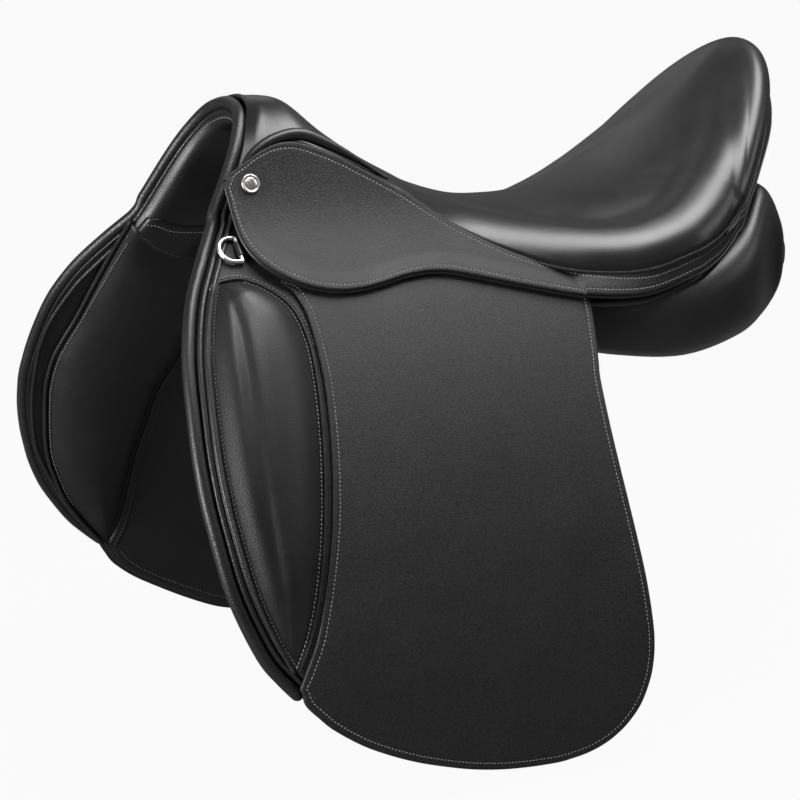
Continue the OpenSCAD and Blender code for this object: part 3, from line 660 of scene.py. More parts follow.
# Left half of a line along the arch: o outward of it, at a height at the top, behind its front
def arch(o, top, back, low=-17):
    first = int(np.linalg.norm(ARCH - side(0, low, ROLL_O)[1:], axis=1).argmin())
    p = ARCH[first:] + ARCH_OUT[first:] * (o - ROLL_O)
    y = p[:, 0]
    z = p[:, 1] + (top - (ARCH_TOP - ROLL_O) - o) * smoothstep(62, 10, np.abs(y))
    return np.column_stack([arch_front(z) - back * ARCH_DEPTH, y, z])


def whole(left, right):
    return np.vstack([left[:-1], (right * [1, -1, 1])[::-1]])


# The seat

# x and height of the middle, way of the edge ahead of it, half width, height of the edge and power
# of the curve across
STATIONS = np.array([
    [175.0, 166.7, 24, 65.6, 112, 3.5], [157.5, 164.2, 12, 69.0, 125, 2.9],
    [133.5, 144.7, 5, 71.7, 122, 2.5], [98.5, 121.3, 0, 77.1, 106.1, 2.2],
    [59.2, 104.4, 0, 86.5, 80.9, 2.2], [19.4, 93.8, 0, 104.8, 62.8, 2.3],
    [-20.3, 90.7, 0, 121.5, 52.6, 2.4], [-65.4, 94.2, 0, 134.1, 52.0, 2.3],
    [-120.4, 112.3, 15.7, 135.8, 62.5, 2.1], [-162.9, 141.0, 39.3, 131.3, 69.1, 1.9],
    [-199.6, 177.2, 61.7, 125.1, 75.5, 1.7], [-223.5, 198.6, 74.4, 119.9, 83.2, 1.8],
    [-237.6, 201.0, 80.3, 114.9, 89.4, 2.0], [-245.1, 182.0, 80.7, 112.2, 92.0, 1.9],
])
# The seat leather ends a little before the last station, where the cantle band takes over
ROWS = catmull(STATIONS, parts=14)[:177]


def seat_at(q, v):
    q = np.asarray(q, float)
    rise = 1 - np.abs(v) ** q[..., 5]
    return np.stack(
        [q[..., 0] + q[..., 2] * v * v, q[..., 3] * v, q[..., 4] + (q[..., 1] - q[..., 4]) * rise],
        -1,
    )


def seat_border():
    left = seat_at(ROWS, np.ones(len(ROWS)))
    turn = np.linspace(1, -1, 121)[1:-1]
    back = seat_at(np.repeat(ROWS[-1:], len(turn), 0), turn)
    return resample(np.vstack([left, back, (left * [1, -1, 1])[::-1]]), 2.0)


BORDER = seat_border()
flat_run = tangents(BORDER * [1, 1, 0])
BORDER_OUT = unit(np.stack([flat_run[:, 1], -flat_run[:, 0], 0 * flat_run[:, 0]], -1))
BORDER_RUN = length_along(BORDER)
ROUND = BORDER_RUN[-1]


# Run along the left border at which it passes a given x
def run_at(x):
    half = len(BORDER) // 2
    return float(np.interp(-x, -BORDER[:half, 0], BORDER_RUN[:half]))


# Points below the border of the seat: c outward of it and d down
def wall(at, c, d):
    at, c, d = np.broadcast_arrays(*[np.asarray(v, float) for v in (at, c, d)])
    b, o = at_run(at, BORDER_RUN, BORDER), at_run(at, BORDER_RUN, BORDER_OUT)
    return b + unit(o) * c[..., None] - np.array([0, 0, 1]) * d[..., None]


def upward(p):
    n = grid_normals(p)
    return n * np.sign(n[..., 2:])


def seat():
    even = np.linspace(-1, 1, 121)
    spread = 0.55 * np.sin(even * math.pi / 2) + 0.45 * even
    p = seat_at(ROWS[:, None, :], spread[None, :])
    n = upward(p)
    # The stuffing swells the seat along its border before the leather turns down
    high, peak = 7.8, 20
    away = nearest(p.reshape(-1, 3), BORDER).reshape(p.shape[:2])
    swell = away / peak * np.exp(1 - away / peak) * smoothstep(58, 30, away)
    swell *= 0.15 + 0.85 * smoothstep(0.05, 0.85, np.abs(spread))[None, :]
    swell *= 0.25 + 0.75 * smoothstep(60, -40, p[..., 0])
    swell *= smoothstep(130, 90, p[..., 0])
    p = p + n * (high * swell)[..., None]
    # In front the leather runs on to the welt over the arch
    half = arch(3.4, 167.4, 4.4, low=-40)
    welt = whole(half, half)[::-1]
    share = length_along(p[0]) / length_along(p[0])[-1]
    run = length_along(welt)
    welt = at_run(share * run[-1], run, welt)
    ahead = [welt + (p[0] - welt) * k for k in (0, 0.1, 0.25, 0.42, 0.6, 0.8)]
    p = np.concatenate([np.array(ahead), p], 0)
    n = grid_normals(p)
    if n[..., 2].mean() < 0:
        n = -n
    # The leather rolls under along its whole border
    rim = []
    edge_in = p[:, -1] - p[:, -4]
    for turn, drop in ((25, 0.9), (55, 2.6), (80, 4.6), (105, 6.6)):
        out = unit(edge_in) * 3.0 * math.sin(math.radians(turn)) * 0.5
        rim.append(p[:, -1] + out - n[:, -1] * drop)
    rim = np.stack(rim, 1)
    mirror = (rim * [1, -1, 1])[:, ::-1]
    p = np.concatenate([mirror, p, rim], 1)
    obj = make("seat_leather", p.reshape(-1, 3), grid_faces(*p.shape[:2], reverse=True), SEAT)
    solid = obj.modifiers.new("thickness", "SOLIDIFY")
    solid.thickness = 0.0028
    solid.offset = -1
    settle(obj, "smooth_leather", "seat_cover")
    path = BORDER + BORDER_OUT * 1.9 - [0, 0, 2.6]
    welt = tube("seat_piping", path[60:-60], 1.5, SMOOTH, sides=10)
    settle(welt, "smooth_leather", "seat_welt")
    # Foam under the leather
    q = ROWS[16:-8:3]
    v = np.linspace(-0.92, 0.92, 41)
    p = seat_at(q[:, None, :], v[None, :])
    # Its depth at each station
    share = [0.1, 0.1, 0.15, 0.3, 0.6, 0.9, 1, 1, 0.9, 0.8, 0.7, 0.6, 0.5, 0.4]
    deep = np.interp(-q[:, 0], -STATIONS[:, 0], share)
    deep = 1.6 + 19 * deep[:, None] * (1 - v * v)[None, :]
    obj = slab("seat_padding", p - upward(p) * 3.6, deep, FOAM, reverse=True)
    settle(obj, "foam", "seat_foam")


seat()

# Front edge of the left flap, from the throat of the arch to the toe
ROLL_LINE = spline([
    (226, -23), (231.6, -7), (244.5, 17), (259.4, 46.5), (269, 75), (274.7, 102), (278.7, 141),
    (279.4, 166), (278, 191), (272.5, 229), (265.4, 254), (253.9, 280), (243.5, 294), (234, 304.5),
])


# The far flap of the photographed saddle swings a little further forward than the near one
FAR_S = [-20, 0, 20, 50, 75, 100, 125, 150, 175, 200, 227, 252, 275, 292, 307, 330, 376]
FAR_X = [0, 0.5, 3, 6.5, 9, 10, 11.7, 12.6, 11.7, 10, 6.5, 2, -4.5, -9, -13, -6, 0]


def swing(x, s, more=0):
    return (np.interp(s, FAR_S, FAR_X) + more) * smoothstep(150, 235, x)


def lead(tag):
    def fit(line):
        if tag == "left":
            return line
        x, s = line[..., 0], line[..., 1]
        down = 7.6 * smoothstep(335, 372, s) * smoothstep(195, 105, x)
        return np.stack([x + swing(x, s), s + down], -1)

    return fit


def on_side(line, o):
    return side(line[..., 0], line[..., 1], o)


# A row of thread on the side face: its path and the way it faces, 1 for outward
def seam(line, o, face=1):
    return on_side(line, o), face * outward(line[:, 1])


# The stretch of a closed line that is kept, in one run
def stretch(line, keep):
    first = int(np.argmax(keep & ~np.roll(keep, 1)))
    return np.roll(line, -first, 0)[np.roll(keep, -first)]


def front_rolls():
    # Way behind the front edge, height above the side face and place over the arch
    for name, behind, o, over, radius, sides, key in (
        ("thick_front_roll", 0, ROLL_O, (ROLL_O, ARCH_TOP, 0), 4.3, 18, "front_roll"),
        # The piping that runs close behind the thick roll
        ("front_piping", 6.6, 5.4, (4.6, 168.6, 5.6), 2.1, 12, "pommel_welt"),
    ):
        halves = []
        for tag in SIDES:
            line = moved(ROLL_LINE, behind)
            low = on_side(lead(tag)(line[line[:, 1] > -12]), o)
            halves.append(catmull(np.vstack([low[::-4], arch(*over)[1::2]]), parts=6))
        path = resample(whole(*halves), 2.2)
        obj = tube(name, path, radius, ROLL, sides=sides, ref=(1, 0, 0))
        settle(obj, "grained_leather", key)


front_rolls()

# Flaps

PANEL_LINE = [
    (170, 38), (198, 40), (192.3, 51), (189, 61), (187.8, 73), (187.7, 98), (188.9, 119.5),
    (192.2, 148.6), (196.4, 176.7), (200.8, 201), (206.7, 225), (213.3, 248.5), (221, 272),
    (228.5, 287), (235.2, 300),
]
PANEL_REST = [
    (233.5, 304), (231.6, 311.1), (222.6, 320.5), (213.4, 328.9), (194.4, 341.5), (174.9, 351.2),
    (155, 359.2), (134.6, 365.6), (114, 371), (92.9, 374.7), (71.7, 376.7), (50.1, 377.4),
    (39.2, 376.5), (28.3, 374.9), (17.4, 371.9), (6.5, 366.9), (-4.5, 359.0), (-14.6, 347.6),
    (-21.8, 332.6), (-25.2, 319.4), (-26.4, 306.2), (-26.0, 292.7), (-23.5, 265.8), (-20.0, 238.9),
    (-16.8, 212), (-14.5, 185), (-13.6, 157.7), (-14.6, 129.9), (-17.2, 115.7), (-21.4, 94),
    (-25.2, 71.6), (-25.2, 60),
]
PANEL_TOP = [(40, 47), (110, 42)]
FLAP_TOP = [(40, 43), (110, 38), (170, 35), (196, 33), (210, 22), (213, -5), (214, -22)]


# Slow waves in the leather of the flap
def waves(x, s):
    return 0.5 * np.sin(x / 61.0 + 0.6) * np.sin(s / 74.0)


def flap(tag):
    flip, fit = tag == "right", lead(tag)
    layers = [GRAIN, EDGE, BACK]
    # Main leather of the flap, from under the skirt to the lower edge
    front = moved(ROLL_LINE, 8.6)
    front = front[front[:, 1] > -20]
    rest = moved(spline(PANEL_REST, 3.0), 3.0)
    top = spline(FLAP_TOP, 3.0)
    outline = fit(loop(2.4, front, rest, top))
    obj, _ = plate("flap_leather_" + tag, outline, 5.0, 8.0, layers, flip, waves)
    hang(obj, "flap", tag, "grained_leather", "flap_head_" + tag, "flap_base_" + tag)
    # The large panel sewn on it
    sewn_in = 4.6
    outline = fit(loop(2.0, spline(PANEL_LINE), spline(PANEL_REST), spline(PANEL_TOP)))
    obj, line = plate(
        "flap_overlay_" + tag, outline, 8.2, 11.2, layers, flip, waves, groove=sewn_in, cell=7.0
    )
    hang(obj, "flap", tag, "grained_leather", "flap_panel_" + tag)
    sewn = line.inset(sewn_in)
    x, s = sewn.T
    keep = (s > 46.5) | (x > 178)
    keep &= ~((s < 62) & (x < 165) & (x > -18))
    sewn = stretch(sewn, keep)
    row = seam(sewn, 11.05 + waves(*sewn.T))
    obj = stitches("flap_panel_stitches_" + tag, [row], LIGHT_THREAD, flip)
    hang(obj, "flap", tag, "grained_leather")
    knee(tag, fit, flip)


# Knee block: front and rear edges from the top seam to the tip, and the swell across it
KNEE_FRONT = [
    (240.5, 40), (247.5, 51), (256.4, 79), (261.8, 105), (265.6, 144), (266.1, 169),
    (264.6, 193.6), (261.1, 218.3), (255.9, 243), (246.8, 268), (236.5, 288.5),
]
KNEE_REAR = [
    (233, 38.5), (222.9, 39.2), (208.1, 48), (197, 61.7), (193, 79), (192.4, 96), (195, 126),
    (198.6, 153), (204.6, 189), (211.8, 224.3), (219, 251), (226.1, 271), (235, 288.4),
]


# A pad between two edges, with closer steps near them: its shares, widths, points and the way of
# each to the nearer edge
def pad_grid(f, r, rim, middle):
    w = np.concatenate([rim, middle, 1 - np.array(rim[::-1])])
    wide = np.linalg.norm(f - r, axis=1)
    return w, wide, between(f, r, w), np.minimum(w, 1 - w)[None, :] * wide[:, None]


def knee(tag, fit, flip):
    rows, base = 120, 8.1
    f, r = (fit(spline(line, count=rows)) for line in (KNEE_FRONT, KNEE_REAR))
    rim = [0, 0.004, 0.012, 0.024, 0.042, 0.066]
    w, wide, grid, across = pad_grid(f, r, rim, np.linspace(0.10, 0.90, 37))
    t = np.linspace(0, 1, rows)[:, None]
    # Distance to the border, with the top seam as a border too
    long = length_along(f)[-1]
    down = t * long
    near = np.minimum(across, down * 0.9 + 0.3)
    near = np.minimum(near, (long - down) * 0.35 + 0.2)
    full = np.minimum(1.0, wide / 44.0)[:, None] ** 0.8
    lobe = 1 - np.exp(-((near / 11.0) ** 1.15))
    crown = np.sin(np.clip(w, 0, 1) * math.pi) ** 0.7
    height = full * (6.0 * lobe + 6.6 * crown[None, :] * lobe)
    # A long hollow behind the front swell
    hollow = np.exp(-(((w[None, :] - 0.285 - 0.05 * t) / 0.062) ** 2))
    hollow = hollow * smoothstep(0.03, 0.2, t) * smoothstep(0.93, 0.6, t)
    front_swell = np.exp(-(((w[None, :] - 0.16) / 0.10) ** 2)) * full * lobe
    height = height - 1.9 * hollow * full * lobe + 1.7 * front_swell
    faces = two_faces(on_side(grid, base + height), on_side(grid, base), True)
    obj = make("knee_pad_" + tag, *faces, PADDED, flip)
    hang(obj, "flap", tag, "stuffed_leather", "knee_block_" + tag)
    # Sewn flange round the block, with its rows of thread
    ring = resample(np.vstack([r[::-1], f]), 2.0)
    path = on_side(moved(ring, -1.6), 8.5)
    obj = tube("knee_flange_" + tag, path, 1.25, GRAIN, flip, sides=8, ref=(0, 1, 0))
    hang(obj, "flap", tag, "grained_leather")
    half = len(ring) // 2
    outer = moved(ring[(ring[:, 1] < 90) & (ring[:, 0] < 246)], -4.2)
    ahead = moved(ring[half:], 1.2)
    light = [seam(outer, 8.1), seam(moved(ring[:half], 1.5), 9.7)]
    dark = [seam(ahead[ahead[:, 1] > 44], 9.4)]
    for kind, lines, mat in (("light", light, LIGHT_THREAD), ("dark", dark, DARK_THREAD)):
        obj = stitches("knee_stitches_%s_%s" % (kind, tag), lines, mat, flip)
        hang(obj, "flap", tag, "grained_leather")
    # Thin roll that closes the front edge of the flap
    line = fit(moved(ROLL_LINE, 10.9))
    path = on_side(line[line[:, 1] > -20], 7.4)
    obj = tube("flap_cord_" + tag, path, 1.9, ROLL, flip, sides=12, ref=(0, 1, 0))
    hang(obj, "flap", tag, "grained_leather", "flap_piping_" + tag)


for tag in SIDES:
    flap(tag)

# Skirts with the strip that runs on below the seat to the cantle


# Cross line of the skirt: the side face with its throat spanned, as stiff leather does
def skirt_line():
    s = np.arange(-200, 201, 1.0)
    raw = side(0 * s, s, 15.3)[:, 1:]
    raw[:, 0] -= 4.5 * np.clip((-s - 25) / 40, 0, 3)
    k = np.exp(-0.5 * (np.arange(-90, 91) / 28.0) ** 2)
    k /= k.sum()
    line = np.stack([np.convolve(raw[:, j], k, "valid") for j in range(2)], -1)
    t = tangents(line)
    return s[90:-90], line, np.stack([-t[:, 1], t[:, 0]], -1)


SPAN_S, SPAN, SPAN_OUT = skirt_line()


def on_skirt(q, o=0.0):
    yz, n = at_run(q[:, 1], SPAN_S, SPAN), at_run(q[:, 1], SPAN_S, SPAN_OUT)
    return np.column_stack([q[:, 0], yz + n * o])


SKIRT_LOWER = [
    (222.2, -40), (223, -32), (221.7, -21), (220.3, 0), (218.4, 12), (214.8, 22), (208.6, 31.6),
    (197.7, 41.4), (182.6, 49.6), (165, 54), (146, 53.8), (128.6, 50.6), (112.4, 46.6), (95, 44.4),
    (78, 45.6), (57.3, 51), (29, 59), (0.2, 66.5), (-20, 71),
]
SKIRT_UPPER = [
    (222.2, -40), (219, -43.6), (213.2, -47.2), (205.9, -52), (197.1, -57.6), (187.5, -61.8),
    (179, -63.6), (169, -63.2), (154, -58.5), (132, -48), (96, -25), (63, 5), (33, 27), (8, 40),
    (-12, 47),
]
SKIRT_PAD = [(209, -46), (200, -57), (184, -66), (165, -69), (146, -62), (126, -51), (104, -36)]


def skirt(tag):
    flip = tag == "right"
    lower, upper = spline(SKIRT_LOWER), spline(SKIRT_UPPER)
    if flip:
        # The far skirt ends a little further back than the near one
        for line in (lower, upper):
            line[:, 0] -= 9 * smoothstep(195, 222, line[:, 0])
    # Rows of the skirt, rows of the strip behind it, and the run at which the strip ends
    n, more, last = 170, 100, 462
    pairs = list(zip(resample(upper, count=n), resample(lower, count=n)))
    first = run_at(-24)
    at = np.linspace(first, last, more)
    tuck = smoothstep(first, first + 70, at)
    tail_u = wall(at, 1.4, 0.6)
    tail_l = wall(at, 1.5 + 8 * (1 - tuck), 18.8 - 1.5 * (1 - tuck))
    pairs += list(zip(tail_u, tail_l))
    middle = np.linspace(0, 1, 26)[1:-1]
    rows, off, from_up, from_low = [], [], [], []
    ridge = np.zeros(n + more)
    ridge[n:] = smoothstep(first, first + 60, at)
    sewn_up, sewn_low = 5.0 + 2.4 * ridge, 3.9
    near = [0, 0.15, 0.45, 0.9, 1.5]
    for k, (a, b) in enumerate(pairs):
        wide = np.linalg.norm(b - a)
        sewn = sewn_up[k]
        up = near + [min(2.6, sewn - 1.6)]
        up += [sewn - 0.6, sewn, sewn + 0.6, sewn + 1.2, sewn + 1.9, sewn + 2.6]
        low = near + [2.7, 3.4, sewn_low, 4.4, 4.9, 5.5, 6.5]
        share = min(1.0, wide / (1.08 * (up[-1] + low[-1])))
        up, low = np.array(up) * share, np.array(low) * share
        d = np.concatenate([up, up[-1] + middle * (wide - up[-1] - low[-1]), wide - low[::-1]])
        w = d[:, None] / max(wide, 1e-6)
        q = a * (1 - w) + b * w
        from_up.append(d / max(share, 0.05))
        from_low.append((wide - d) / max(share, 0.05))
        off.append(np.minimum(d, wide - d))
        rows.append(on_skirt(q) if k < n else q)
    p, rim = np.array(rows), np.array(off)
    from_up, from_low = np.array(from_up), np.array(from_low)
    normal = grid_normals(p)
    if normal[n // 2, 20, 1] < 0:
        normal = -normal
    sewn = sewn_up[:, None]
    drop = 1.3 * np.clip(1 - rim / 1.3, 0, 1) ** 2.2
    drop += 0.26 * np.exp(-(((from_up - sewn) / 0.55) ** 2))
    drop += 0.26 * np.exp(-(((from_low - sewn_low) / 0.55) ** 2))
    # The free edge stands off the flap
    curl = np.concatenate([smoothstep(0, 25, np.arange(n)), smoothstep(40, 0, np.arange(more))])
    drop -= 2.2 * curl[:, None] * smoothstep(18, 3, from_low)
    drop -= 0.8 * ridge[:, None] * smoothstep(sewn - 0.3, sewn - 1.4, from_up)
    p = p - normal * drop[..., None]
    obj = slab("skirt_leather_" + tag, p, 3.0, GRAIN, flip, reverse=True)
    hang(obj, "skirt", tag, "grained_leather", "skirt_top_" + tag, "skirt_flap_" + tag)
    # Second layer that shows along the lower edge
    keep = lower[lower[:, 1] > -36]
    second = np.vstack([on_skirt(moved(keep, -0.2), -0.9)[:-1], tail_l - [0, 1.0, 1.0]])
    obj = tube("skirt_lining_edge_" + tag, resample(second, 2.0), 1.25, EDGE, flip, sides=8)
    hang(obj, "skirt", tag, "grained_leather")
    # Thread along both edges, and a third row on the strip below the seat
    thread_line = p + normal * 0.12
    both = [np.vstack([g[6:, 7][::-1], g[6:, -8]]) for g in (thread_line, normal)]
    third = [g[n + 20 :, 5] for g in (thread_line, normal)]
    obj = stitches("skirt_stitches_" + tag, [both, third], LIGHT_THREAD, flip)
    hang(obj, "skirt", tag, "grained_leather")
    # Padded band above the front of the skirt
    path = spline(SKIRT_PAD)
    t = np.linspace(0, 1, len(path))
    r = 1.3 + 3.0 * np.sin(math.pi * np.clip(t * 1.12, 0, 1) ** 0.8) ** 0.9
    obj = tube(
        "skirt_pad_" + tag, on_skirt(path, -5.1), r, SMOOTH, flip, sides=14, ref=(0, 1, 0.2)
    )
    settle(obj, "grained_leather", "skirt_roll_" + tag)


for tag in SIDES:
    skirt(tag)

# Band round the back of the cantle, and the roll below it


def cantle():
    start, mid = run_at(-136), ROUND / 2
    at = np.linspace(start, ROUND - start, 261)
    inward = mid - np.abs(at - mid) - start
    deep = 1.2 + 8.0 * smoothstep(-4, 36, inward) + 16 * smoothstep(70, mid - start, inward)
    behind = smoothstep(20, 75, inward)
    near = [0, 0.15, 0.45, 0.9, 1.5, 1.9, 2.4, 2.9, 3.5]
    middle = np.linspace(0, 1, 8)[1:-1]
    rows, rim = [], []
    for k, wide in enumerate(deep):
        share = min(1.0, wide / 7.4)
        edge = np.array(near) * share
        d = np.concatenate([edge, edge[-1] + middle * (wide - 2 * edge[-1]), wide - edge[::-1]])
        c = 2.4 + 3.2 * behind[k] * smoothstep(0, 14, d) + 0.8 * np.sin(np.pi * d / wide)
        rows.append(wall(np.full(len(d), at[k]), c, 3.2 + d))
        rim.append(np.minimum(d, wide - d))
    p, rim = np.array(rows), np.array(rim)
    normal = grid_normals(p)
    if normal[len(at) // 2, 10, 0] > 0:
        normal = -normal
    p = p - normal * (
        1.1 * np.clip(1 - rim / 1.2, 0, 1) ** 2.2
        + 0.24 * np.exp(-(((rim - 2.4) / 0.5) ** 2))
    )[..., None]
    obj = slab("cantle_binding", p, 2.0, SMOOTH, reverse=True)
    settle(obj, "smooth_leather", "cantle_band")
    lines = [(p[3:-3, k] + normal[3:-3, k] * 0.1, normal[3:-3, k]) for k in (6, -7)]
    settle(stitches("cantle_stitches", lines, LIGHT_THREAD), "smooth_leather")

    # The closing leather begins this far below the border, and ends at these depths or heights
    top, side_depth, back_foot, roll_height = 2.5, 31, 66, 87

    # Run from the nearer end, height, share of the back and depth of the closing leather
    def facing(first, count):
        at = np.linspace(first, ROUND - first, count)
        run, height = np.minimum(at, ROUND - at), wall(at, 0, 0)[:, 2]
        back = smoothstep(405, 470, run)
        return at, run, height, back, side_depth * (1 - back) + (height - back_foot) * back

    # How far outward of the border it lies, at a share of its depth
    def set_out(part, back):
        return -3.0 - part**1.4 * (10 + 5 * back)

    # Leather that closes the side and the back between the seat and the panels
    at, _, _, back, low = facing(run_at(10), 281)
    f = np.linspace(0, 1, 16)
    d = top + f[None, :] * (low - top)[:, None]
    c = set_out(f[None, :], back[:, None])
    obj = slab("rear_facing", wall(at[:, None], c, d), 1.4, SMOOTH, reverse=True)
    settle(obj, "smooth_leather")
    # Roll along the top of the panels
    at, run, height, back, low = facing(run_at(-26), 301)
    behind = smoothstep(430, 480, run)
    d = np.interp(run, [0, 364, 380, 400, 420, 445], [24.8, 24.8, 26.2, 29, 31, 33])
    d = d * (1 - behind) + (height - roll_height) * behind
    c = set_out(np.clip((d - top) / (low - top), 0, 1), back) + 5.2
    path = resample(catmull(resample(wall(at, c, d), 12.0), parts=8), 2.5)
    settle(tube("cantle_roll", path, 3.1, SMOOTH), "smooth_leather", "cantle_welt")


cantle()

# Panels below the seat

# Station, outer half width, bottom and top of the left panel
PANEL = np.array([
    [142, 52, 60, 96], [104, 64, 34, 84], [62, 84, 13, 66], [20, 102, 0, 50],
    [-22, 115, -8, 42], [-66, 131, -16.1, 41.9], [-112, 141, -18.9, 50.3], [-160, 133, -10.4, 72],
    [-198, 104.5, -3.1, 101], [-211.4, 99.7, 12.5, 85], [-227.4, 79.5, 29.6, 62.6],
])


def panel(tag):
    q = catmull(PANEL, parts=7)
    inner = 33.0
    a = np.linspace(0, 2 * math.pi, 57)[:-1]
    cy, cz = (q[:, 1] + inner) / 2, (q[:, 3] + q[:, 2]) / 2
    hy, hz = (q[:, 1] - inner) / 2, (q[:, 3] - q[:, 2]) / 2
    c, s = (np.sign(v) * np.abs(v) ** 0.68 for v in (np.cos(a), np.sin(a)))
    y, z = cy[:, None] + hy[:, None] * c, cz[:, None] + hz[:, None] * s
    p = np.stack([np.repeat(q[:, :1], len(a), 1), y, z], -1)

    # Rounded ends
    def end(ring, ahead):
        centre = ring.mean(0)
        steps = ((0.96, 2.0), (0.86, 4.2), (0.68, 6.0), (0.42, 7.2), (0.12, 7.8))
        return [centre + (ring - centre) * f + np.array([ahead * k, 0, 0]) for f, k in steps]

    p = np.array(end(p[0], 1)[::-1] + list(p) + end(p[-1], -1))
    faces = tube_faces(*p.shape[:2])
    obj = make("panel_" + tag, p.reshape(-1, 3), faces, SMOOTH, tag == "right")
    settle(obj, "stuffed_leather", "panel_cushion_" + tag)


for tag in SIDES:
    panel(tag)

# Inside of the arch and of the flaps


# The lining of the gullet: how far behind the front and how deep inside the arch it lies
LINING = [
    (1.0, -0.5), (1.4, 2.2), (2.4, 4.6), (3.2, 6.2), (4.4, 7.8), (5.8, 9.4), (7.6, 11.2),
    (10, 12.5), (14, 13.3), (20, 13.8), (28, 14.2), (38, 14.4), (48, 14.4), (58, 14.2),
]


def gullet():
    rows = []
    for back, depth in LINING:
        half = arch(-depth, ARCH_TOP - ROLL_O - depth, back, low=10)
        row = whole(half, half)
        # Its rear end dips below the seat foam
        dip = np.interp(back, [28, 38, 48, 58], [0, 2, 10, 22])
        row[:, 2] -= dip * smoothstep(60, 12, np.abs(row[:, 1]))
        rows.append(row)
    # Behind the arch it runs down to the strip between the panels
    edge = rows[-1]
    across = edge[:, 1] / np.abs(edge[:, 1]).max()
    strip = np.column_stack([0 * across + 100, 35 * across, 80 - 1.5 * across**2])
    rows += [edge + (strip - edge) * k for k in (0.08, 0.2, 0.4, 0.6, 0.8, 1.0)]
    p = np.array(rows)
    obj = slab("gullet_leather", p, 1.6, SMOOTH, reverse=True)
    settle(obj, "smooth_leather", "gullet_lining", "pommel_facing")
    n = grid_normals(p)
    if n[6, p.shape[1] // 2, 2] > 0:
        n = -n
    half = arch(-3.9, 158.6, 2.2, low=4)
    path = resample(catmull(whole(half, half)[::2], parts=4), 2.0)
    obj = tube("gullet_cord", path, 1.7, ROLL, sides=10, ref=(1, 0, 0))
    settle(obj, "smooth_leather", "gullet_piping")
    lines = [(p[4] + n[4] * 0.1, n[4])]
    # Band that laps over the lower edge of the lining on each side
    back, deep = np.array(LINING[5:]).T
    along = 1.14 * back
    at = 245 - along
    upper = np.interp(at, [183, 207, 218, 227], [-4.4, -5.2, -7, -10])
    lower = np.interp(at, [182, 199, 216, 225.5, 236], [32, 24.8, 16.4, 8.6, 3])

    def band_row(s, raised):
        q = side(0 * s, s, -(deep[:, None] + raised))
        q[..., 0] = arch_front(q[..., 2]) - along[:, None]
        return q

    f = np.array([0, 0.02, 0.06, 0.12, 0.2, 0.35, 0.5, 0.65, 0.8, 0.88, 0.94, 0.98, 1.0])
    s = upper[:, None] * (1 - f) + lower[:, None] * f
    lap = band_row(s, 0.9 - 0.7 * np.exp(-np.minimum(f, 1 - f) * 45)[None, :])
    lap[0] += outward(s[0]) * 1.6
    dark = []
    for tag in SIDES:
        turn = [1, -1 if tag == "right" else 1, 1]
        settle(slab("gullet_band_" + tag, lap, 0.8, SMOOTH, tag == "right"), "smooth_leather")
        for s, bag in ((upper + 3.6, lines), (lower - 3.2, dark)):
            row = band_row(s[:, None], 0.95)[:, 0] * turn
            up = -outward(s) * turn
            fine = resample(np.hstack([row, up]), 1.0)
            bag.append((fine[:, :3], fine[:, 3:]))
    for name, rows, mat in (
        ("gullet_dark_stitches", dark, DARK_THREAD), ("gullet_stitches", lines, LIGHT_THREAD),
    ):
        settle(stitches(name, rows, mat, thick=0.36), "smooth_leather")


gullet()

# Stuffed pad inside the right flap, from its top seam to the toe
PAD_FRONT = [
    (238, -3), (241.5, 14), (245, 31), (249, 50), (254, 72), (260.2, 96), (268, 118), (272.8, 134),
    (275.2, 155), (274.8, 172), (271.8, 206), (268, 226.4), (261.3, 245), (253, 263.6),
    (240.5, 282), (221.5, 305.5),
]
PAD_REAR = [
    (168, 27), (161, 62), (160, 88), (163, 112), (170.5, 135.6), (177, 152.4), (183.4, 166),
    (188.1, 181.6), (191, 197), (195, 214.2), (199, 231), (201.7, 248.6), (204.7, 266),
    (208.4, 283.2), (212.9, 295.7), (218, 305.5),
]
INNER_WELT = [
    (234.5, 9), (251.7, 38.2), (263.6, 58.1), (271, 74.7), (279.5, 96.8), (284, 118),
    (285.4, 134.8), (285.4, 172), (280.5, 208.9), (273.5, 229), (264.5, 247), (255, 264.5),
    (242, 283.6),
]


# The inside lines are those of the right flap; the left flap has the near side's own reach
def inner_fit(tag):
    def fit(line):
        if tag == "right":
            return line
        x, s = line[..., 0], line[..., 1]
        return np.stack([x - swing(x, s, 7 * smoothstep(45, 0, s)), s], -1)

    return fit


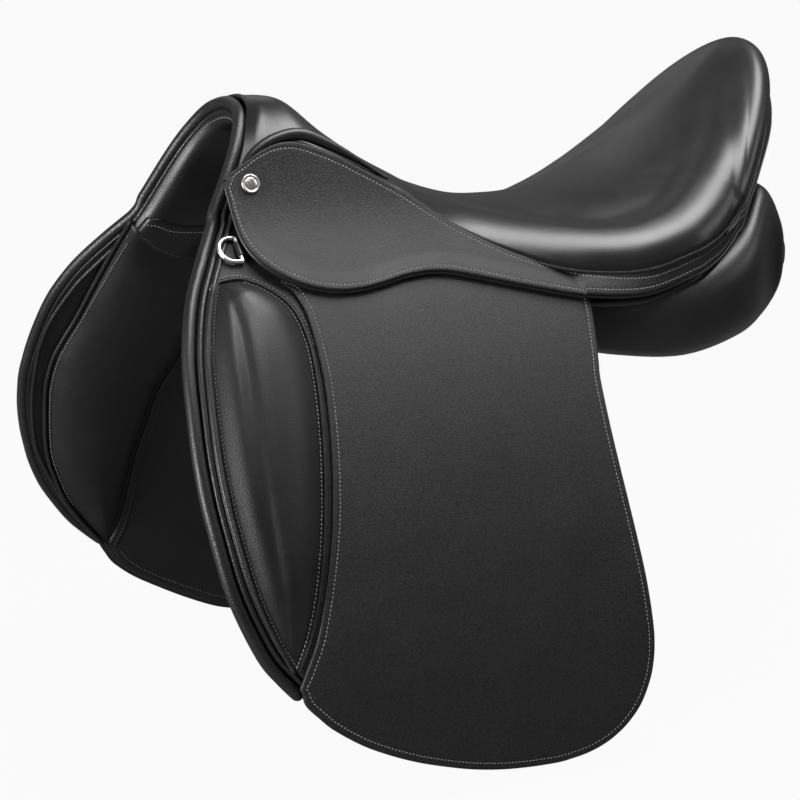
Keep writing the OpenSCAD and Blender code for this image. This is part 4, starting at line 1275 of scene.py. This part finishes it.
def inner_side(tag):
    flip = tag == "right"
    fit, turn = lead(tag), inner_fit(tag)
    line = moved(ROLL_LINE, 1.5)
    rest = moved(spline(PANEL_REST, 3.0), 5.2)[4:]
    top = spline([(90, 50), (153, 44), (207, 40), (226, 22)], 3.0)
    outline = fit(loop(2.6, line[line[:, 1] > 8], rest, top))
    layers = [BACK, EDGE, SMOOTH]
    obj, edge = plate("sweat_leather_" + tag, outline, -3.0, 0.0, layers, flip)
    settle(obj, "smooth_leather", "sweat_flap_" + tag)
    sewn = edge.inset(4.4)
    x, s = sewn.T
    sewn = stretch(sewn, (s > 120) & ((x < 206) & ((x < 150) | (s > 300))))
    dark = [seam(sewn, -3.1, -1)]
    # Thin roll beside the thick one, with its row of thread
    welt = turn(spline(INNER_WELT))
    obj = tube("inner_welt_" + tag, on_side(welt, -3.6), 1.6, ROLL, flip, sides=10)
    settle(obj, "smooth_leather")
    dark.append(seam(moved(welt, 3.4)[8:-30], -3.1, -1))
    # Stuffed forepart
    rows = 140
    f, r = (turn(spline(line, count=rows)) for line in (PAD_FRONT, PAD_REAR))
    rim = [0, 0.006, 0.016, 0.03, 0.05, 0.075]
    w, wide, grid, across = pad_grid(f, r, rim, np.linspace(0.11, 0.89, 33))
    run = length_along(f)
    left_over = (run[-1] - run)[:, None]
    near = np.minimum(across, left_over * 0.5 + 0.2)
    full = np.minimum(1.0, wide / 60.0)[:, None] ** 0.7
    tight = (5.0 + 5.0 * smoothstep(40, 120, run))[:, None]
    swell = 1 - np.exp(-((near / tight) ** 1.05))
    crown = np.sin(w * math.pi)[None, :] ** 0.6
    height = full * swell * (9.0 + 9.0 * crown)
    # At the top the pad keeps the depth of the band above it
    height = height + (9.8 - height) * (smoothstep(45, 0, run)[:, None] * swell)
    verts, faces = two_faces(on_side(grid, -3.4 - height), on_side(grid, -3.2), False)
    cols = len(w)
    size = rows * cols
    first_row = list(range(cols))
    last_row = list(range(size - 1, size - cols - 1, -1))
    for ids in (first_row, last_row):
        faces += [(a, a + size, b + size, b) for a, b in zip(ids[:-1], ids[1:])]
    obj = make("stuffed_forepart_" + tag, verts, faces, PADDED, flip)
    settle(obj, "stuffed_leather", "forepart_" + tag)
    path = on_side(moved(f, -1.0), -5.2)
    settle(tube("forepart_piping_" + tag, path, 1.7, ROLL, flip, sides=10), "smooth_leather")
    light = [seam(moved(f, 2.2)[6:-6], -3.4 - height[6:-6, 4] - 0.1, -1)]
    # Narrow strip sewn along the rear of the pad
    def behind(d):
        return moved(r, d)[rows // 8 :]

    v = np.linspace(0, 1, 9)
    rise = 1.1 * np.clip(np.minimum(v, 1 - v) * 8, 0, 1) ** 0.5
    p = on_side(between(behind(1.5), behind(9.5), v), -3.1 - rise[None, :])
    settle(slab("forepart_strip_" + tag, p, 0.9, SMOOTH, flip, reverse=True), "smooth_leather")
    dark += [seam(behind(d), -4.25, -1) for d in (3.2, 7.6)]
    for kind, lines, mat, thick in (
        ("dark", dark, DARK_THREAD, 0.42), ("light", light, LIGHT_THREAD, 0.34),
    ):
        obj = stitches("inner_%s_stitches_%s" % (kind, tag), lines, mat, flip, thick)
        settle(obj, "smooth_leather")


for tag in SIDES:
    inner_side(tag)


# Small soft parts keep the CAD shape with rounded edges


def copy_of(key, name, mat):
    mesh = nodes[key].data.copy()
    mesh.materials.clear()
    mesh.materials.append(mat)
    mesh.polygons.foreach_set("material_index", np.zeros(len(mesh.polygons), np.int32))
    return placed(name, mesh), mesh


def rounded_copy(key, name, width, body="saddle", mat=SMOOTH, slot_name="smooth_leather"):
    obj, mesh = copy_of(key, name, mat)
    bevel = obj.modifiers.new("edge", "BEVEL")
    bevel.width = width * 0.001
    bevel.segments = 2
    bevel.limit_method = "ANGLE"
    bevel.angle_limit = math.radians(40)
    mesh.polygons.foreach_set("use_smooth", np.zeros(len(mesh.polygons), bool))
    settle(obj, slot_name, key, body=body)


for tag in SIDES:
    rounded_copy("dee_chape_" + tag, "dee_chape_leather_" + tag, 0.4)
    for place in ("front_", "rear_"):
        end = place + tag
        rounded_copy("girth_strap_" + end, "girth_strap_leather_" + end, 0.5, "strap_" + end)
rounded_copy("seat_webbing", "webbing_straps", 0.3, mat=WEB, slot_name="web")
rounded_copy("channel_lining", "channel_leather", 0.3)


# The tree's head and its plate lie close under the lining, as slimmer copies of the solids
def slim_copy(key, mat, slot_name):
    obj, mesh = copy_of(key, key + "_slim", mat)
    v = np.empty(len(mesh.vertices) * 3)
    mesh.vertices.foreach_get("co", v)
    v = v.reshape(-1, 3) * 1000
    flat = np.column_stack([np.abs(v[:, 1]), v[:, 2]])
    near = np.linalg.norm(flat[:, None] - ARCH[None], axis=2).argmin(1)
    n = ARCH_OUT[near]
    clear, share = 2.5, 0.6
    deep = np.maximum(-clear - ((flat - ARCH[near]) * n).sum(1), 0)
    go = n * (share * deep * smoothstep(110, 150, v[:, 0]))[:, None]
    v[:, 0] -= ARCH_LEAN * go[:, 1]
    v[:, 1] = np.sign(v[:, 1]) * (flat[:, 0] + go[:, 0])
    v[:, 2] += go[:, 1]
    mesh.vertices.foreach_set("co", (v / 1000).ravel())
    mesh.update()
    settle(obj, slot_name, key)


slim_copy("tree_head", BEECH, "beech")
slim_copy("gullet_plate", STEEL, "steel")
slim_copy("tree_rivets", STEEL, "steel")


# Studs: a low dome inside a raised rim, on a short shank through the skirt
def stud_heads():
    outline = np.array([
        (0.02, 1.75), (1.4, 1.72), (2.8, 1.58), (4.0, 1.32), (4.4, 1.12), (4.7, 1.2), (5.2, 1.6),
        (5.7, 1.72), (6.2, 1.5), (6.5, 0.9), (6.4, 0.2), (5.6, -0.2), (2.2, -0.4), (2.1, -7.0),
        (0.02, -7.2),
    ])
    ring = np.linspace(0, 2 * math.pi, 48, endpoint=False)
    verts, faces = [], []
    at = np.array([[206.2, -35.0]])
    foot, out = on_skirt(at)[0], unit(on_skirt(at, 1.0)[0] - on_skirt(at)[0])
    e1 = np.array([1.0, 0, 0])
    e2 = np.cross(out, e1)
    for turn in (1, -1):
        base = len(verts)
        for r, h in outline:
            for a in ring:
                q = foot + out * h + r * (e1 * math.cos(a) + e2 * math.sin(a))
                verts.append(q * [1, turn, 1])
        faces += grid_faces(len(outline), len(ring), base=base, around=True, reverse=turn < 0)
    settle(make("stud_heads", np.array(verts), faces, NICKEL), "nickel", "studs")


stud_heads()

# Studio


# How far a ray sees the plain background: in full from the camera, faintly in gloss
def background_share(tree, whole_share):
    path = tree.nodes.new("ShaderNodeLightPath").outputs

    def maths(operation, first, second, third=None):
        n = node(tree, "ShaderNodeMath", operation=operation)
        for k, v in enumerate((first, second, third)):
            if isinstance(v, float):
                n.inputs[k].default_value = v
            elif v:
                tree.links.new(v, n.inputs[k])
        return n.outputs[0]

    either = maths("MAXIMUM", path["Is Camera Ray"], path["Is Transmission Ray"])
    plain = maths("MULTIPLY", either, whole_share)
    return maths("MULTIPLY_ADD", path["Is Glossy Ray"], 0.08, plain)


# Mixes a shader with the plain background, by the share of it that a ray sees
def mixed(tree, whole_share, shader, plain, output):
    mix = tree.nodes.new("ShaderNodeMixShader")
    for k, v in enumerate((background_share(tree, whole_share), shader, plain)):
        tree.links.new(v, mix.inputs[k])
    tree.links.new(mix.outputs[0], tree.nodes[output].inputs["Surface"])


# Name, place, aim, width and height in metres, and watts
LAMPS = [
    ("key", (-0.12, 0.20, 0.82), (-0.05, 0.08, 0.0), 0.95, 0.36, 12),
    ("front", (1.8, 0.6, 0.6), (0.15, 0, 0.0), 0.6, 0.5, 10),
    ("low_front", (1.8, 0.3, 0.1), (0.2, -0.1, 0.0), 0.7, 0.5, 24),
    ("rear", (-1.5, 0.9, 1.0), (-0.1, 0, 0.05), 0.7, 0.7, 4),
    ("far", (-0.2, -1.6, 1.0), (0, 0, 0.05), 1.0, 0.8, 1),
]
# The photo's camera: focal length and picture in pixels, sensor in mm, turn, tilt and place
FOCAL, PICTURE, SENSOR = 2016.67, 800, 36.0
TURN, TILT = math.radians(27.049), math.radians(11)
CAMERA_AT = (0.7194, 1.2976, 0.2283)


def studio():
    white = (1, 1, 1, 1)
    m, t, shader, where = material("floor_paper")
    n = noise(t, where, 40.0, 4.0)["Fac"]
    tone = ramp(t, n, (0.3, 0.20), (0.7, 0.23))
    feed(t, shader, {"Base Color": tone, "Roughness": 0.9, "Specular IOR Level": 0.1})
    glow = node(t, "ShaderNodeEmission", Strength=1.0, Color=white)
    mixed(t, 0.95, shader.outputs[0], glow.outputs[0], "Material Output")
    size, z = 14.0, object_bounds()[0].z - 0.001
    mesh = bpy.data.meshes.new("floor")
    corners = ((-size, -size, z), (size, -size, z), (size, size, z), (-size, size, z))
    mesh.from_pydata(corners, [], [(0, 1, 2, 3)])
    mesh.materials.append(m)
    placed("floor", mesh)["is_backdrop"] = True

    world = bpy.data.worlds.new("studio")
    bpy.context.scene.world = world
    world.use_nodes = True
    t = world.node_tree
    ground, plain = t.nodes["Background"], t.nodes.new("ShaderNodeBackground")
    for shader, strength in ((ground, 0.07), (plain, 0.95)):
        feed(t, shader, {"Color": white, "Strength": strength})
    mixed(t, 1.0, ground.outputs[0], plain.outputs[0], "World Output")

    for name, at, aim, wide, tall, watts in LAMPS:
        data = bpy.data.lights.new(name, "AREA")
        data.shape = "RECTANGLE"
        data.size, data.size_y = wide, tall
        data.energy = watts
        obj = placed(name, data)
        obj.location = at
        obj.rotation_mode = "QUATERNION"
        obj.rotation_quaternion = (Vector(aim) - Vector(at)).to_track_quat("-Z", "Y")

    cam_data = bpy.data.cameras.new("camera")
    cam_data.sensor_width = SENSOR
    cam_data.lens = FOCAL / PICTURE * SENSOR
    cam = placed("camera", cam_data)
    bpy.context.scene.camera = cam
    flat = math.cos(TILT)
    d = Vector((math.sin(TURN) * flat, math.cos(TURN) * flat, math.sin(TILT)))
    r = Vector((-math.cos(TURN), math.sin(TURN), 0))
    u = d.cross(r)
    turn = Matrix((r, u, d)).transposed().to_4x4()
    cam.matrix_world = Matrix.Translation(Vector(CAMERA_AT)) @ turn
    bpy.context.scene.view_settings.view_transform = "Standard"


studio()
